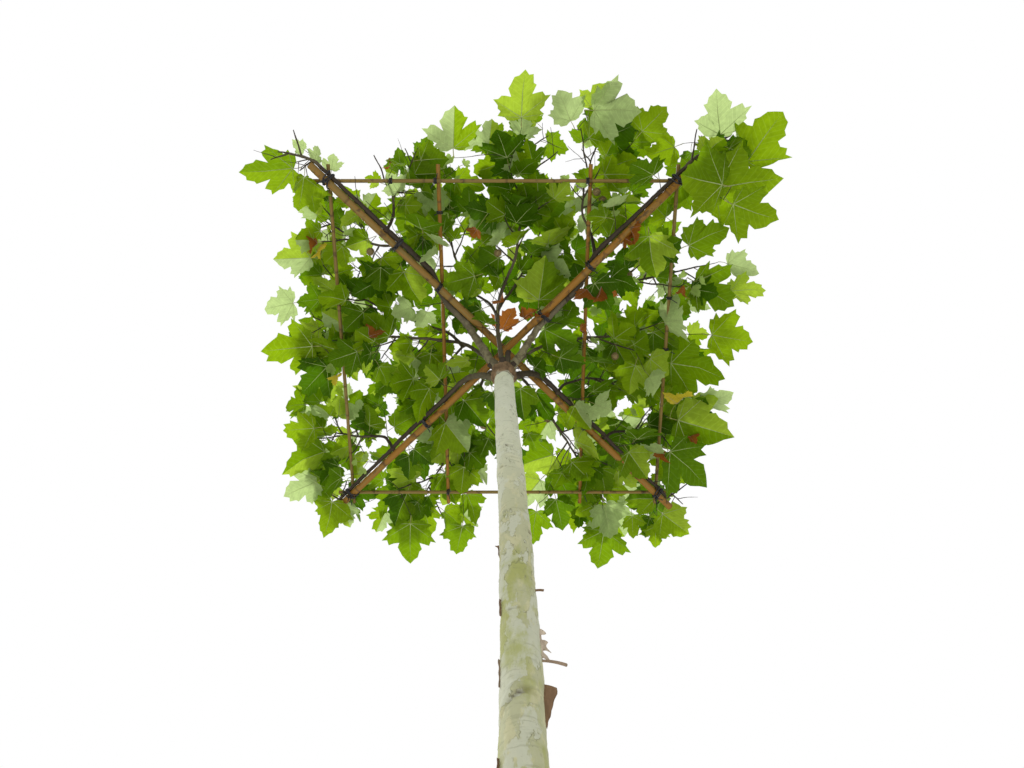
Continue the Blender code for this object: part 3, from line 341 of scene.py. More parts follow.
# Leaves that are placed one by one, at the edge, in gaps and behind the stem's head: place of the blade's
# foot on the frame's level, as seen from the eye point, height over the frame, bearing, droop, roll in
# degrees, length and tint, whose lighter and darker greens stand partly for painted light and shade
LONE_LEAVES = (
    (-0.72, -0.59, 0.02, 171, 0.20, 50, 0.165, "middle"), (0.60, -0.69, 0.03, 262, 0.10, 10, 0.140, "felt"),
    (0.69, -0.61, 0.03, 294, 0.15, -45, 0.180, "fresh"),
    (0.60, -0.53, -0.02, 351, 0.25, 20, 0.195, "fresh"),
    (0.66, -0.48, -0.05, 24, 0.25, -15, 0.140, "fresh"),
    (0.53, -0.35, 0.03, 334, 0.20, 15, 0.140, "middle"), (0.66, -0.29, 0.06, 10, 0.40, 30, 0.105, "felt"),
    (0.56, -0.23, 0.04, 28, 0.20, -10, 0.150, "middle"),
    (0.68, -0.20, 0.06, 345, 0.15, 20, 0.110, "bright"), (0.63, -0.05, 0.05, 4, 0.20, -20, 0.135, "fresh"),
    (0.50, 0.05, 0.03, 0, 0.25, 15, 0.185, "middle"), (0.54, 0.26, 0.02, 10, 0.25, -15, 0.185, "middle"),
    (0.63, 0.20, 0.07, 332, 0.20, 10, 0.105, "felt"), (0.52, 0.38, 0.03, 33, 0.30, 10, 0.165, "dark"),
    (0.51, 0.63, 0.03, 40, 0.25, -15, 0.125, "fresh"), (0.30, 0.70, 0.02, 92, 0.25, 10, 0.145, "middle"),
    (0.49, 0.68, 0.04, 95, 0.30, 0, 0.080, "fresh"), (-0.41, 0.67, 0.02, 95, 0.30, -15, 0.140, "middle"),
    (-0.69, 0.58, 0.02, 96, 0.30, 15, 0.120, "fresh"), (-0.74, 0.50, 0.04, 160, 0.20, 10, 0.120, "felt"),
    (-0.70, 0.38, 0.03, 168, 0.20, -20, 0.150, "middle"),
    (-0.71, -0.01, 0.03, 180, 0.15, 15, 0.155, "fresh"), (-0.76, -0.16, 0.06, 178, 0.20, 10, 0.095, "felt"),
    (-0.69, -0.31, 0.04, 186, 0.20, -15, 0.120, "bright"),
    (-0.01, -0.74, 0.07, 268, 0.15, 15, 0.145, "bright"),
    (0.14, -0.73, 0.07, 240, 0.25, -20, 0.110, "felt"), (0.20, -0.77, 0.10, 288, 0.15, 20, 0.095, "bright"),
    (0.21, -0.76, 0.06, 2, 0.25, 10, 0.150, "felt"), (-0.11, -0.66, 0.06, 280, 0.20, 0, 0.090, "bright"),
    (-0.22, -0.65, 0.04, 268, 0.20, 10, 0.130, "fresh"), (0.40, -0.38, 0.03, 84, 0.30, -5, 0.140, "middle"),
    (0.62, -0.54, -0.05, 192, 0.10, 10, 0.160, "middle"),
    (-0.07, -0.07, 0.02, 292, 0.00, 25, 0.090, "rust"), (0.00, -0.11, 0.03, 315, 0.00, 35, 0.055, "rust"),
    (-0.16, -0.25, 0.03, 165, 0.10, 10, 0.110, "middle"),
    (0.05, -0.17, 0.04, 272, 0.10, 0, 0.150, "middle"), (0.07, -0.07, 0.02, 25, 0.10, -15, 0.120, "dark"),
    (-0.68, -0.645, 0.06, 215, 0.20, 20, 0.045, "felt"),
    (-0.65, -0.615, 0.05, 300, 0.30, -20, 0.055, "felt"),
    (-0.60, -0.585, 0.04, 285, 0.20, 10, 0.055, "felt"),
    (0.36, -0.70, 0.04, 308, 0.20, -15, 0.105, "fresh"), (-0.73, 0.29, 0.03, 176, 0.20, 15, 0.105, "fresh"),
    (-0.22, 0.68, 0.03, 100, 0.30, -10, 0.110, "middle"), (0.12, 0.57, 0.03, 75, 0.35, 10, 0.115, "dark"),
    (0.05, 0.62, 0.04, 100, 0.30, -15, 0.110, "middle"), (0.45, -0.44, 0.08, 215, 0.20, 0, 0.090, "middle"),
    (-0.50, -0.37, 0.07, 160, 0.10, 0, 0.080, "middle"), (-0.50, 0.49, 0.06, 200, 0.20, 0, 0.080, "middle"),
    (-0.50, 0.62, 0.05, 110, 0.20, 0, 0.090, "fresh"), (0.02, 0.31, 0.05, 60, 0.20, 10, 0.070, "middle"),
    (0.40, 0.64, 0.05, 80, 0.20, 0, 0.075, "fresh"), (-0.03, 0.05, 0.12, 262, 0.15, 10, 0.130, "dark"),
    (0.05, 0.04, 0.12, 285, 0.10, -10, 0.120, "middle"), (-0.12, 0.04, 0.12, 245, 0.15, 0, 0.115, "dark"),
    (-0.13, 0.05, 0.12, 185, 0.15, 10, 0.100, "middle"), (0.14, -0.14, 0.10, 190, 0.10, 0, 0.090, "middle"),
)

# Where the twig of such a leaf may leave a limb, and the ways up and down that the leaf is moved by
LONE_PLACES = (0.3, 0.6, 0.95)
LONE_STEPS = (0.0, 0.02, -0.02, 0.04, -0.04, 0.07, -0.07, 0.10, 0.14, 0.18)

# A leaf of the rule that hides a cane or bough within HEAD_ROOM of the crown's middle, or a crossed one
# within CROSS_ROOM, is left out. Both are tested at points HIDING_STEP apart along them.
HEAD_ROOM = 0.34
CROSS_ROOM = 0.74
HIDING_STEP = 0.02

# Half outline of a leaf from beside its stalk to its tip, in blade lengths across and along: the corners of
# its two side lobes and its middle one, with a notch after each tooth
LEAF_OUTLINE = np.array((
    (0.020, -0.014), (0.160, -0.080), (0.330, -0.075), (0.360, -0.005), (0.505, 0.035), (0.440, 0.135),
    (0.548, 0.225), (0.545, 0.305), (0.680, 0.460), (0.555, 0.455), (0.500, 0.550), (0.395, 0.525),
    (0.262, 0.500), (0.335, 0.675), (0.262, 0.725), (0.210, 0.855), (0.112, 0.890), (0.0, 1.0),
))
LEAF_NOTCHES = (5, 12)
LEAF_TEETH = (2, 6, 10, 13, 15)
LEAF_SIDE_LOBE = (6, 7, 8, 9, 10, 11)
LEAF_LOW_LOBE = (1, 2, 3, 4)
LEAF_VEINS = (4, 8, 17)
LEAF_RINGS = (0.52, 1.0)

# How much leaves differ: middle and spread of how lobed, bent, arched, folded, rippled and uneven one is, and
# the spread of its teeth, its side lobes, its low lobes and its rim
LEAF_FORMS = {
    "lobing": (0.55, 0.25), "bend": (0.0, 0.07), "arch": (0.26, 0.15), "fold": (0.16, 0.16),
    "ripple": (0.0, 0.022), "unrest": (0.10, 0.05),
}
NOTCH_SHARE = 0.38
NOTCH_DEPTH = 0.16
TOOTH_SPREAD = 0.035
SIDE_LOBE_SPREAD = 0.07
LOW_LOBE_SPREAD = 0.14
RIM_SPREAD = 0.018

# Arch across a leaf, width of the lift of a lobe, and number of ripples and the place that they turn round
CROSS_ARCH = 0.06
LOBE_WIDTH = 0.08
RIPPLES = 5
RIPPLE_MIDDLE = 0.2

# Tints from dark to light, then the odd ones. A leaf's value picks one of the first six: it grows with height
# over TINT_Z and with distance past TINT_REACH from the crown's middle, so that higher and outer leaves get
# lighter greens as painted light and lower, inner ones darker greens as painted shade. Some leaves have a
# lighter half, painted light on one side of the midrib.
TINTS = ("deep", "dark", "middle", "fresh", "bright", "felt", "young", "yellow", "rust")
TINT_STEPS = (-0.88, -0.28, 0.32, 0.85, 1.20)
TINT_Z = 2.85
TINT_REACH = 0.5
PAINTED_LIGHT_RISE = 1.8
PAINTED_LIGHT_OUTWARD = 0.7
TWIG_TINT_SPREAD = 0.5
LEAF_TINT_SPREAD = 0.8
LIT_HALF_SHARE = 0.35

# Width of a leaf's three kinds of vein against the main one, share of the way from the ring to the rim that
# they cover, their width at the ring, and the leaf's length for which the widths are given
VEIN_WIDTHS = (0.55, 0.75, 1.0)
VEIN_REACH = 0.90
VEIN_MIDDLE = 0.62
FULL_BLADE = 0.12

# What full curl adds to a leaf's arch, fold and unevenness
CURL_ARCH = 0.35
CURL_FOLD = 0.45
CURL_UNREST = 0.10

# Brown and yellow leaves that hang on: middle, size, curl and finish
OLD_LEAVES = (
    ((-0.08, -0.18, 2.70), 0.040, 1.0, "rust"), ((0.06, -0.12, 2.71), 0.050, 1.0, "rust"),
    ((-0.68, -0.35, 2.74), 0.055, 1.0, "rust"), ((-0.66, -0.34, 2.75), 0.060, 1.0, "yellow"),
    ((-0.64, 0.10, 2.73), 0.045, 0.6, "yellow"), ((-0.51, -0.07, 2.72), 0.055, 1.0, "rust"),
    ((0.25, -0.20, 2.70), 0.075, 0.8, "rust"), ((0.21, -0.19, 2.71), 0.060, 1.0, "rust"),
    ((0.35, -0.39, 2.71), 0.065, 1.0, "rust"), ((0.33, -0.37, 2.72), 0.045, 1.0, "rust"),
    ((0.51, -0.19, 2.72), 0.050, 0.8, "rust"), ((0.51, -0.58, 2.71), 0.050, 1.0, "rust"),
    ((0.54, 0.17, 2.73), 0.080, 0.6, "yellow"), ((0.59, 0.32, 2.72), 0.050, 1.0, "rust"),
    ((0.49, 0.39, 2.72), 0.045, 1.0, "rust"), ((-0.16, -0.39, 2.73), 0.040, 1.0, "rust"),
    ((-0.42, -0.60, 2.74), 0.030, 1.0, "rust"), ((0.20, -0.07, 2.72), 0.035, 1.0, "rust"),
)

# Short ties round one cane: the cane and the place along it
CANE_BANDS = (
    ("cane_front", -0.28), ("cane_front", 0.20), ("cane_front", -0.42), ("cane_back", -0.27),
    ("cane_back", 0.22), ("cane_left", -0.19), ("cane_left", -0.02), ("cane_right", -0.17),
    ("cane_right", 0.01), ("cane_inner_left", -0.45),
)

# Bamboo: distance between joints in a thick and in a thin cane, how greyed the front left half of its
# diagonal is, and its hollow end from the rim inwards, as depth, share of the radius, and darkness of the
# painted shade inside it
THICK_JOINTS = 0.19
THIN_JOINTS = 0.13
WORN_HALF = 0.6
CANE_END = np.array(((0.0, 0.999, 0.2), (0.0, 0.5, 0.4), (0.012, 0.45, 1.0), (0.012, 0.02, 1.0)))

# Sides and taper of a cane, place of its first joint, how much the joints' distances differ, half width of a
# joint's rim, the neck past it (depth, place and half width), and its dark line (place and half width)
BAMBOO_SIDES = 18
CANE_TAPER = (0.02, 0.06)
FIRST_JOINT = 0.04
JOINT_STEPS = (0.8, 1.2)
JOINT_RIM = 0.0035
JOINT_NECK = (0.6, 0.006, 0.003)
JOINT_LINE = (0.005, 0.003)

# Wound ties at a corner and elsewhere: turns, radius of the cord, layers, slant, half width, swelling by
# crossed turns, and length of the loose ends
CORNER_WINDING = (6, 0.0021, 2, 0.006, 0.013, 0.10, 1.2)
CANE_WINDING = (3, 0.0020, 1, 0.0015, 0.006, 0.05, 1.0)
CORD_GAP = 0.0004

# Knot of a wound tie: how far it hangs, its radius, turns, points, rise, and thickness against the cord. Its
# two loose ends: length, how they point across, along and down, steps, drop, thickness against the cord, sway
TIE_KNOT_DROP = 0.003
TIE_KNOT_RADIUS = 0.0042
TIE_KNOT_TURNS = 2
TIE_KNOT_POINTS = 34
TIE_KNOT_RISE = 0.0025
TIE_KNOT_THICKNESS = 1.1
CORD_SIDES = 8
TIE_END = (0.015, 0.035)
TIE_END_ACROSS = (0.3, 1.0)
TIE_END_ALONG = (-0.6, 0.6)
TIE_END_DOWN = (0.5, 1.1)
TIE_END_STEPS = 8
TIE_END_DROP = 0.010
TIE_END_THICKNESS = 0.85
TIE_END_SWAY = 0.004

# Short ties: radius of the cord, distance from the cane, turns, points, unevenness and half width. Their
# loose ends: length, how they point along and down, drop, and radius of the cord
BAND_CORD = 0.0019
BAND_OFF = 0.0020
BAND_TURNS = 4
BAND_POINTS = 97
BAND_UNEVEN = 0.08
BAND_HALF = 0.0035
BAND_END = (0.012, 0.034)
BAND_END_ALONG = (-0.8, 0.8)
BAND_END_DOWN = (0.2, 0.9)
BAND_END_DROP = 0.006
BAND_END_CORD = 0.0015

# The stem's bark: first and last height and number of its rings, and its sides
BARK_RINGS = ((0.0, 2.34, 460), (2.343, STEM_HEIGHT, 100))
BARK_SIDES = 112

# Its bulges (height, stretch along the stem, size and seed), its plates (size, seed, level and edge), the
# bulges of its head (height, size and seed), and its belts of algae (strength, height and reach)
STEM_BULGES = ((0.0010, 0.6, 0.055, 11), (0.0004, 2.2, 0.015, 13))
STEM_PLATES = ((0.045, 3, 0.15, 0.15), (0.022, 5, 0.45, 0.15))
HEAD_BULGES = ((0.0026, 0.022, 19), (0.0014, 0.008, 23))
ALGAE_BELTS = ((1.2, 1.19, 0.08), (0.85, 1.38, 0.10), (0.5, 0.93, 0.08), (0.7, 0.60, 0.25))
ALGAE_SIDE = 120

# Patches on the bark are stretched along the stem. Algae: waves (strength, size and seed), spots (size, seed,
# level and edge), strengths of belts and spots, least strength, and how much, from what height and over what
# height it fades
BARK_STRETCH = (1.0, 1.0, 0.45)
ALGAE_WAVES = ((0.20, 0.06, 31), (0.12, 0.02, 37))
ALGAE_SPOTS = (0.03, 39, 0.9, 0.4)
BELT_STRENGTH = 0.55
SPOT_STRENGTH = 0.22
LEAST_ALGAE = 0.10
ALGAE_FADING = (0.16, 1.45, 0.3)

# Ribs of the root flare (strength, number and turn), and the rounded edge and the dish of the stem's top
RIB_WAVES = ((1.0, 3, 0.6), (0.5, 5, 2.0))
FLARE_RIBS = 0.006
FLARE_RIB_HEIGHT = 0.07
TOP_ROUNDING = 0.28
TOP_EDGE = 0.02
TOP_DISH = 0.004

# The bark of the head starts at HEAD_LOW, with a soft edge over a crease that is sunk a little and darkened
# as painted shade, and swells over HEAD_RISE to a share of the part's swelling. Its edge runs in waves
# (height, size and seed). The bark of the boughs starts ROOTED inside it.
HEAD_LOW = 2.437
HEAD_WAVES = ((0.004, 0.02, 17),)
HEAD_RISE = 0.030
HEAD_KEPT = 0.62
HEAD_EDGE = 0.012
HEAD_CREASE = 0.005
CREASE_SHADE = 0.9
CREASE_DEPTH = 0.0015
ROOTED = 0.012

# A knot in shares of its size: bow and half height of its lip, its half width, the fold under the lip (place,
# half height and depth), and its dark line of painted shade in that fold (place, half height and sharpness)
KNOT_BOW = 0.3
KNOT_LIP = 0.45
KNOT_WIDTH = 1.2
KNOT_FOLD = (-0.65, 0.25, 0.8)
KNOT_SHADE_LINE = (-0.60, 0.15, 1.5)

# Knots on the stem: height, bearing in degrees, size, depth and tilt
KNOTS = (
    (1.100, -96, 0.022, 0.0060, 0.35), (1.288, -106, 0.010, 0.0018, 0.0), (1.920, -98, 0.012, 0.0030, 0.3),
    (1.815, -128, 0.011, 0.0026, -0.2), (2.180, -52, 0.010, 0.0022, 0.2), (1.540, -30, 0.010, 0.0022, 0.0),
    (0.720, -60, 0.016, 0.0035, -0.3), (0.410, -120, 0.015, 0.0030, 0.2), (0.860, 95, 0.015, 0.0035, 0.2),
    (1.420, 130, 0.013, 0.0030, -0.2), (2.050, 70, 0.012, 0.0028, 0.0), (0.240, 20, 0.018, 0.0035, 0.2),
)

# Peeling plates of bark: heights where each is still attached, from its low to its high end, bearing, how far
# it stands out at its low and at its high end, drop of its free edge, curl, raggedness, and paleness
FLAKES = (
    (1.052, 1.130, -8, 0.001, 0.0210, 0.008, 0.30, 0.10, 0.0),
    (1.185, 1.255, -14, 0.011, 0.0070, 0.004, 1.2, 0.50, 1.0),
    (1.205, 1.228, -12, 0.010, 0.0120, 0.002, 0.9, 0.60, 0.9),
    (1.176, 1.1815, -12, 0.033, 0.0380, 0.012, 0.30, 0.20, 0.35),
    (1.356, 1.362, -14, 0.011, 0.0120, 0.001, 0.40, 0.30, 0.0),
    (1.285, 1.330, -163, 0.003, 0.0050, 0.002, 1.0, 0.40, 0.1),
    (1.120, 1.180, -166, 0.003, 0.0045, 0.002, 0.8, 0.40, 0.3),
    (0.940, 0.985, -160, 0.004, 0.0060, 0.003, 1.0, 0.40, 0.0),
    (0.610, 0.670, 40, 0.004, 0.0120, 0.005, 0.9, 0.30, 0.1),
    (0.860, 0.900, 120, 0.009, 0.0040, 0.003, 1.2, 0.30, 0.6),
    (1.500, 1.545, 150, 0.006, 0.0080, 0.004, 1.1, 0.35, 0.2),
    (1.690, 1.725, 60, 0.005, 0.0070, 0.003, 1.2, 0.35, 0.8),
    (0.380, 0.450, -75, 0.003, 0.0080, 0.004, 1.0, 0.35, 0.4),
)
FLAKE_GRID = (15, 9)
FLAKE_ROOTED = 0.0015
FLAKE_THICKNESS = 0.0007
FLAKE_WAVE = 0.022
FLAKE_SEED = 41
CURL_POWER = 1.5
DROP_POWER = 1.3

# Stubs of pruned boughs on the head: bearing, rise, reach and radius, and where they start
STUBS = (
    (100, 0.7, 0.030, 0.0095), (285, 1.6, 0.050, 0.0085), (200, 0.8, 0.026, 0.0070), (20, 0.4, 0.024, 0.0075),
    (262, 0.3, 0.016, 0.0100), (318, 0.2, 0.014, 0.0085),
)
STUB_Z = 2.50
STUB_START = 0.020
STUB_ROOTED = 0.014

# Their rings and sides, taper, unevenness (strength, size and seed), and how grown their bark looks
STUB_GRID = (11, 14)
STUB_TAPER = (1.3, 0.9)
STUB_UNEVEN = (0.14, 0.02, 51)
STUB_AGE = 0.45

# Sides of a bough from the stem and of a side bough, their rough bark (strength, size and seed), and how far
# their line drifts, over what length, with what seed, and how soon from its ends
STEM_BOUGH_SIDES = 16
SIDE_BOUGH_SIDES = 10
BOUGH_ROUGHNESS = ((0.06, 0.030, 60), (0.035, 0.009, 80))
DRIFT = 0.0012
DRIFT_LENGTH = 0.11
DRIFT_SEED = 90
DRIFT_ENDS = 0.04

# Spacing of the points of a bough or cane, and the collar where a bough leaves the stem or another bough
FINE_STEP = 0.004
STEM_COLLAR = 0.30
SIDE_COLLAR = 0.45
COLLAR_LENGTH = 0.016

# Boughs that widen towards the stem, by how much and over what length
FORKED_BOUGHS = ("bough_front_left", "bough_front_right")
FORK_SWELL = 0.35
FORK_LENGTH = 0.08

# How grown the bark of each bough looks near the stem, if not OTHER_GROWN, and how far out that dies away
GROWN_BOUGHS = {
    "bough_front_left": 0.75, "bough_front_right": 1.0, "bough_back_left": 0.40, "bough_back_right": 0.12,
    "bough_right": 0.5,
}
OTHER_GROWN = 0.3
LEAST_GROWN = 0.08
GROWN_REACH = 0.24

# Knuckles along a bough and a twig: place of the first one, sizes, width, and steps to the next one
BOUGH_KNUCKLES = (0.05, (0.08, 0.20), 0.005, (0.035, 0.085))
TWIG_KNUCKLES = (0.02, (0.15, 0.4), 0.008, (0.025, 0.05))

# Twigs as they are seen: radius at the tip of a mass's stem, first and last radius of a twig, share of the
# rule's radius in a finer one, spacing of the points of both, and sway
STEM_END = 0.0022
TWIG_RADII = (0.0030, 0.0016)
FINER_SHARE = 0.80
TWIG_STEP = 0.012
FINER_STEP = 0.014
TWIG_SWAY = 0.0022

# Seed balls as they are seen: number and half width of the bristles, share of the radius that is solid, and
# rings and sides of that
BRISTLES = 150
BRISTLE_WIDTH = 0.0009
BRISTLE_CORNERS = (0.0, 2.094, 4.189)
BALL_CORE = 0.86
BALL_GRID = (13, 20)

# Lumps of a ball (strength, size and seed), where its bristles start and end against its solid part and its
# radius, and its stalk: points, bow, first and last radius, and sides
BALL_LUMPS = (0.05, 0.5, 71)
BRISTLE_FOOT = 0.97
BRISTLE_TIP = 1.12
STALK_POINTS = 9
STALK_BOW = 0.006
STALK_RADII = (0.0012, 0.0009)
STALK_SIDES = 5

# Stage: sides and depth of the floor, the angle of the top light's disc, and how it leans
FLOOR_SIDES = 96
FLOOR_DEPTH = 0.0005
LIGHT_ANGLE = 12
LIGHT_LEAN = (-14, -24)
NEAR_CLIP = 0.01


# Settings


def colour(name, description, default):
    return bpy.props.FloatVectorProperty(
        name=name, description=description, subtype="COLOR", size=3, min=0.0, max=1.0, default=default
    )


def length(name, description, default):
    return bpy.props.FloatProperty(
        name=name, description=description, default=default, min=0.0, unit="LENGTH",
    )


class BarkLook(bpy.types.PropertyGroup):
    """Colours and relief of the stem and the boughs."""

    fresh: colour("Fresh bark", "Bark under plates that have fallen", (0.43, 0.435, 0.27))
    plate: colour("Plates", "Old plates of bark that still sit on the stem", (0.51, 0.525, 0.41))
    algae: colour("Algae", "Yellow-green growth on the stem", (0.335, 0.355, 0.105))
    flake: colour("Loose plates", "Plates that peel off", (0.22, 0.135, 0.075))
    pale_flake: colour("Pale loose plates", "Inner side of plates that peel off", (0.56, 0.47, 0.36))
    head: colour("Pruned head", "Rough bark on the stem's head", (0.105, 0.068, 0.036))
    grown: colour("Older wood", "Boughs near the stem", (0.200, 0.175, 0.095))
    young: colour("Young wood", "Boughs and twigs near their tips", (0.030, 0.020, 0.011))
    plate_height: length("Plate height", "How far a plate stands over fresh bark", 0.0006)


class CaneLook(bpy.types.PropertyGroup):
    """Colours and joints of the bamboo canes, and the colour of the ties."""

    bamboo: colour("Bamboo", "Sound bamboo", (0.225, 0.101, 0.009))
    weathered: colour("Weathered bamboo", "Streaks of greyed bamboo", (0.165, 0.113, 0.028))
    stain: colour("Stains", "Dark stains and joints", (0.038, 0.020, 0.009))
    joint_height: length("Joint height", "How far a joint's rim stands out", 0.0009)
    rubber: colour("Rubber", "Black ties", (0.012, 0.012, 0.014))


class FoliageLook(bpy.types.PropertyGroup):
    """Colours and sizes of leaves, stalks and seed balls."""

    # Deep, dark, middle, fresh and bright are one green at several brightnesses: besides chance, a leaf's
    # height and reach pick them as painted light and shade
    deep: colour("Deep green", "Darkest leaves", (0.042, 0.100, 0.0005))
    dark: colour("Dark green", "Leaves in the shade of others", (0.070, 0.142, 0.0010))
    middle: colour("Middle green", "Most leaves", (0.108, 0.190, 0.0010))
    fresh: colour("Fresh green", "Leaves higher up", (0.150, 0.240, 0.0020))
    bright: colour("Bright green", "Leaves that the light comes through", (0.225, 0.320, 0.020))
    # Colour of a felted underside, also used as painted sheen: the lightest grade of the painted light on
    # leaves, and on lighter leaf halves
    felt: colour("Felted green", "Leaves that show a felted underside", (0.270, 0.350, 0.130))
    young: colour("Young green", "Leaves that have just opened", (0.270, 0.375, 0.090))
    yellow: colour("Yellow", "Turning leaves", (0.50, 0.38, 0.03))
    rust: colour("Rust", "Dry leaves", (0.205, 0.068, 0.010))
    vein: colour("Veins", "Main veins", (0.30, 0.37, 0.13))
    stalk: colour("Leaf stalks", "Stalks of the leaves", (0.24, 0.24, 0.07))
    ball: colour("Seed balls", "Seed balls and their stalks", (0.17, 0.125, 0.045))
    glow: bpy.props.FloatProperty(
        name="Light let through", description="Share of the light that passes a leaf", default=0.5, min=0.0,
        max=1.0, subtype="FACTOR",
    )
    vein_width: length("Vein width", "Width of the main vein at its foot", 0.0028)
    stalk_radius: length("Stalk radius", "Radius of a leaf's stalk", 0.0012)


class StageLook(bpy.types.PropertyGroup):
    """Floor, light and backdrop."""

    floor: colour("Floor", "Floor", (0.80, 0.80, 0.79))
    floor_size: length("Floor radius", "Radius of the round floor", 6.0)
    ambient: bpy.props.FloatProperty(
        name="Soft light", description="Light from all round", default=0.8, min=0.0, subtype="FACTOR",
    )
    key: bpy.props.FloatProperty(
        name="Top light", description="Light from above", default=3.2, min=0.0, subtype="FACTOR",
    )


# The part's rule, written again


def bearing(degrees):
    """Unit direction in plan."""
    turn = math.radians(degrees)
    return np.array((math.cos(turn), math.sin(turn), 0.0))


def unit(vector):
    return vector / np.linalg.norm(vector)


def smooth(share):
    """Eases from 0 to 1."""
    share = np.clip(share, 0.0, 1.0)
    return share * share * (3 - 2 * share)


def rising(share):
    """Goes from 0 to 1, steeply first and level at the end."""
    return np.sin(np.clip(share, 0.0, 1.0) * math.pi / 2)


def rings(points, radii, sides, reference=UP, ahead=None):
    """Rings of a tube along a path: at each point a circle square to the path, or to the way ahead that is
    given there, turned so that its sides keep their place against the reference. The radii are one for each
    point, or one for each corner."""
    points = np.asarray(points, float)
    radii = np.asarray(radii, float)
    radii = radii if radii.ndim == 2 else np.broadcast_to(radii, (len(points),))[:, None]
    tangents = np.gradient(points, axis=0) if ahead is None else ahead
    tangents = tangents / np.linalg.norm(tangents, axis=1)[:, None]
    side = np.cross(tangents, reference)
    side /= np.linalg.norm(side, axis=1)[:, None]
    top = np.cross(side, tangents)
    turn = (np.arange(sides) + 0.5) * 2 * math.pi / sides
    ring = np.cos(turn)[None, :, None] * side[:, None] + np.sin(turn)[None, :, None] * top[:, None]
    return points[:, None] + radii[:, :, None] * ring


def grid_faces(rows, columns, closed=True):
    """Quads of a grid of points that is joined round its columns when closed."""
    across = np.arange(columns if closed else columns - 1)
    low = np.arange(rows - 1)[:, None] * columns + across
    beside = np.arange(rows - 1)[:, None] * columns + (across + 1) % columns
    return np.stack((low, low + columns, beside + columns, beside), -1).reshape(-1, 4)


def tube(points, radii, sides, reference=UP):
    """A closed faceted tube along a path, with flat ends, as the part has it."""
    vertices = rings(points, radii, sides, reference).reshape(-1, 3)
    faces = [tuple(face) for face in grid_faces(len(points), sides).tolist()]
    faces.append(tuple(range(sides)))
    faces.append(tuple(reversed(range(len(vertices) - sides, len(vertices)))))
    return vertices, faces


def stem_axis(height):
    """Centre of the stem at a height: a slight lean to the left with one slow sway."""
    share = height / STEM_HEIGHT
    wave = math.sin(2 * math.pi * (height - SWAY_HEIGHT) / SWAY_LENGTH)
    sway = STEM_SWAY * wave * smooth(height / SWAY_HEIGHT)
    return np.array((STEM_LEAN * share + sway, STEM_BOW * math.sin(math.pi * share), height))


def stem_radius(height):
    """Straight taper, a root flare that dies away over FLARE_HEIGHT, and a swollen head."""
    taper = STEM_RADIUS + (STEM_TOP_RADIUS - STEM_RADIUS) * height / STEM_HEIGHT
    flare = FLARE_WIDTH * math.exp(-height / FLARE_HEIGHT)
    head = HEAD_SWELL * math.exp(-(((height - HEAD_Z) / HEAD_SPREAD) ** 2))
    return taper + flare + head


def stem_shape(extra=0.0):
    head = HEAD_Z + np.array(HEAD_RINGS)
    heights = np.concatenate((FLARE_RINGS, np.linspace(*CLEAR_RINGS), head, (STEM_HEIGHT,)))
    heights[-1] += extra
    points = np.array([stem_axis(z) for z in heights])
    radii = np.array([stem_radius(z) for z in heights]) + extra
    radii[-1] *= STEM_TOP_SHARE
    vertices, faces = tube(points, radii, STEM_SIDES, reference=np.array((0.0, 1.0, 0.0)))
    vertices[:STEM_SIDES, 2] = 0.0
    return vertices, faces


class Limb:
    """A tapering limb: points and radii along it."""

    def __init__(self, points, radii):
        self.points = np.asarray(points, float)
        self.radii = np.asarray(radii, float)

    def at(self, share):
        """Point and radius at a share of the limb's steps."""
        place = share * (len(self.points) - 1)
        low = min(int(place), len(self.points) - 2)
        part = place - low
        point = self.points[low] * (1 - part) + self.points[low + 1] * part
        return point, self.radii[low] * (1 - part) + self.radii[low + 1] * part

    def along(self, share):
        """Direction at a share of the limb's steps."""
        return unit(self.at(min(share + NEARBY, 1.0))[0] - self.at(max(share - NEARBY, 0.0))[0])

    def length(self):
        return np.linalg.norm(np.diff(self.points, axis=0), axis=1).sum()

    def shape(self, sides, extra=0.0):
        return tube(self.points, self.radii + extra, sides)

    def curve(self, spacing):
        """The limb's line drawn smoothly: points about the spacing apart on the cubic through each four
        neighbouring points, with the radius at each and the distance along."""
        ends = 2 * self.points[[0, -1]] - self.points[[1, -2]]
        points = np.concatenate((ends[:1], self.points, ends[1:]))
        steps = len(self.points) - 1
        place = np.linspace(0, steps, max(4, round(self.length() / spacing)) + 1)
        low = np.minimum(place.astype(int), steps - 1)
        t = (place - low)[:, None]
        a, b, c, d = (points[low + k] for k in range(4))
        made = b + 0.5 * t * (c - a + t * (2 * a - 5 * b + 4 * c - d + t * (3 * (b - c) + d - a)))
        radii = np.interp(place, np.arange(steps + 1), self.radii)
        along = np.concatenate(([0.0], np.cumsum(np.linalg.norm(np.diff(made, axis=0), axis=1))))
        return made, radii, along


def cane_drop(degrees, out):
    """How far a diagonal cane hangs below the frame's level, so that one passes under the other."""
    lowest = 2 * DIAGONAL_CANE_RADIUS + CONTACT if degrees % 180 == 135 else 0.0
    return lowest * np.clip(1 - np.abs(out) / CORNER, 0, 1)


def beside_cane(name, out, radius):
    """Sideways and upward place of a corner bough's centre against its cane, and the cane's level."""
    start, end, first, last = WINDING[name]
    wound = (out - first) / (last - first)
    turn = np.radians(start + (end - start) * smooth(wound))
    crossing = WINDING_CLEARANCE * np.sin(np.clip(wound, 0.0, 1.0) * math.pi)
    away = DIAGONAL_CANE_RADIUS + radius + CONTACT + crossing
    return away * np.sin(turn), away * np.cos(turn), FRAME_Z - cane_drop(STEM_BOUGHS[name][0], out)


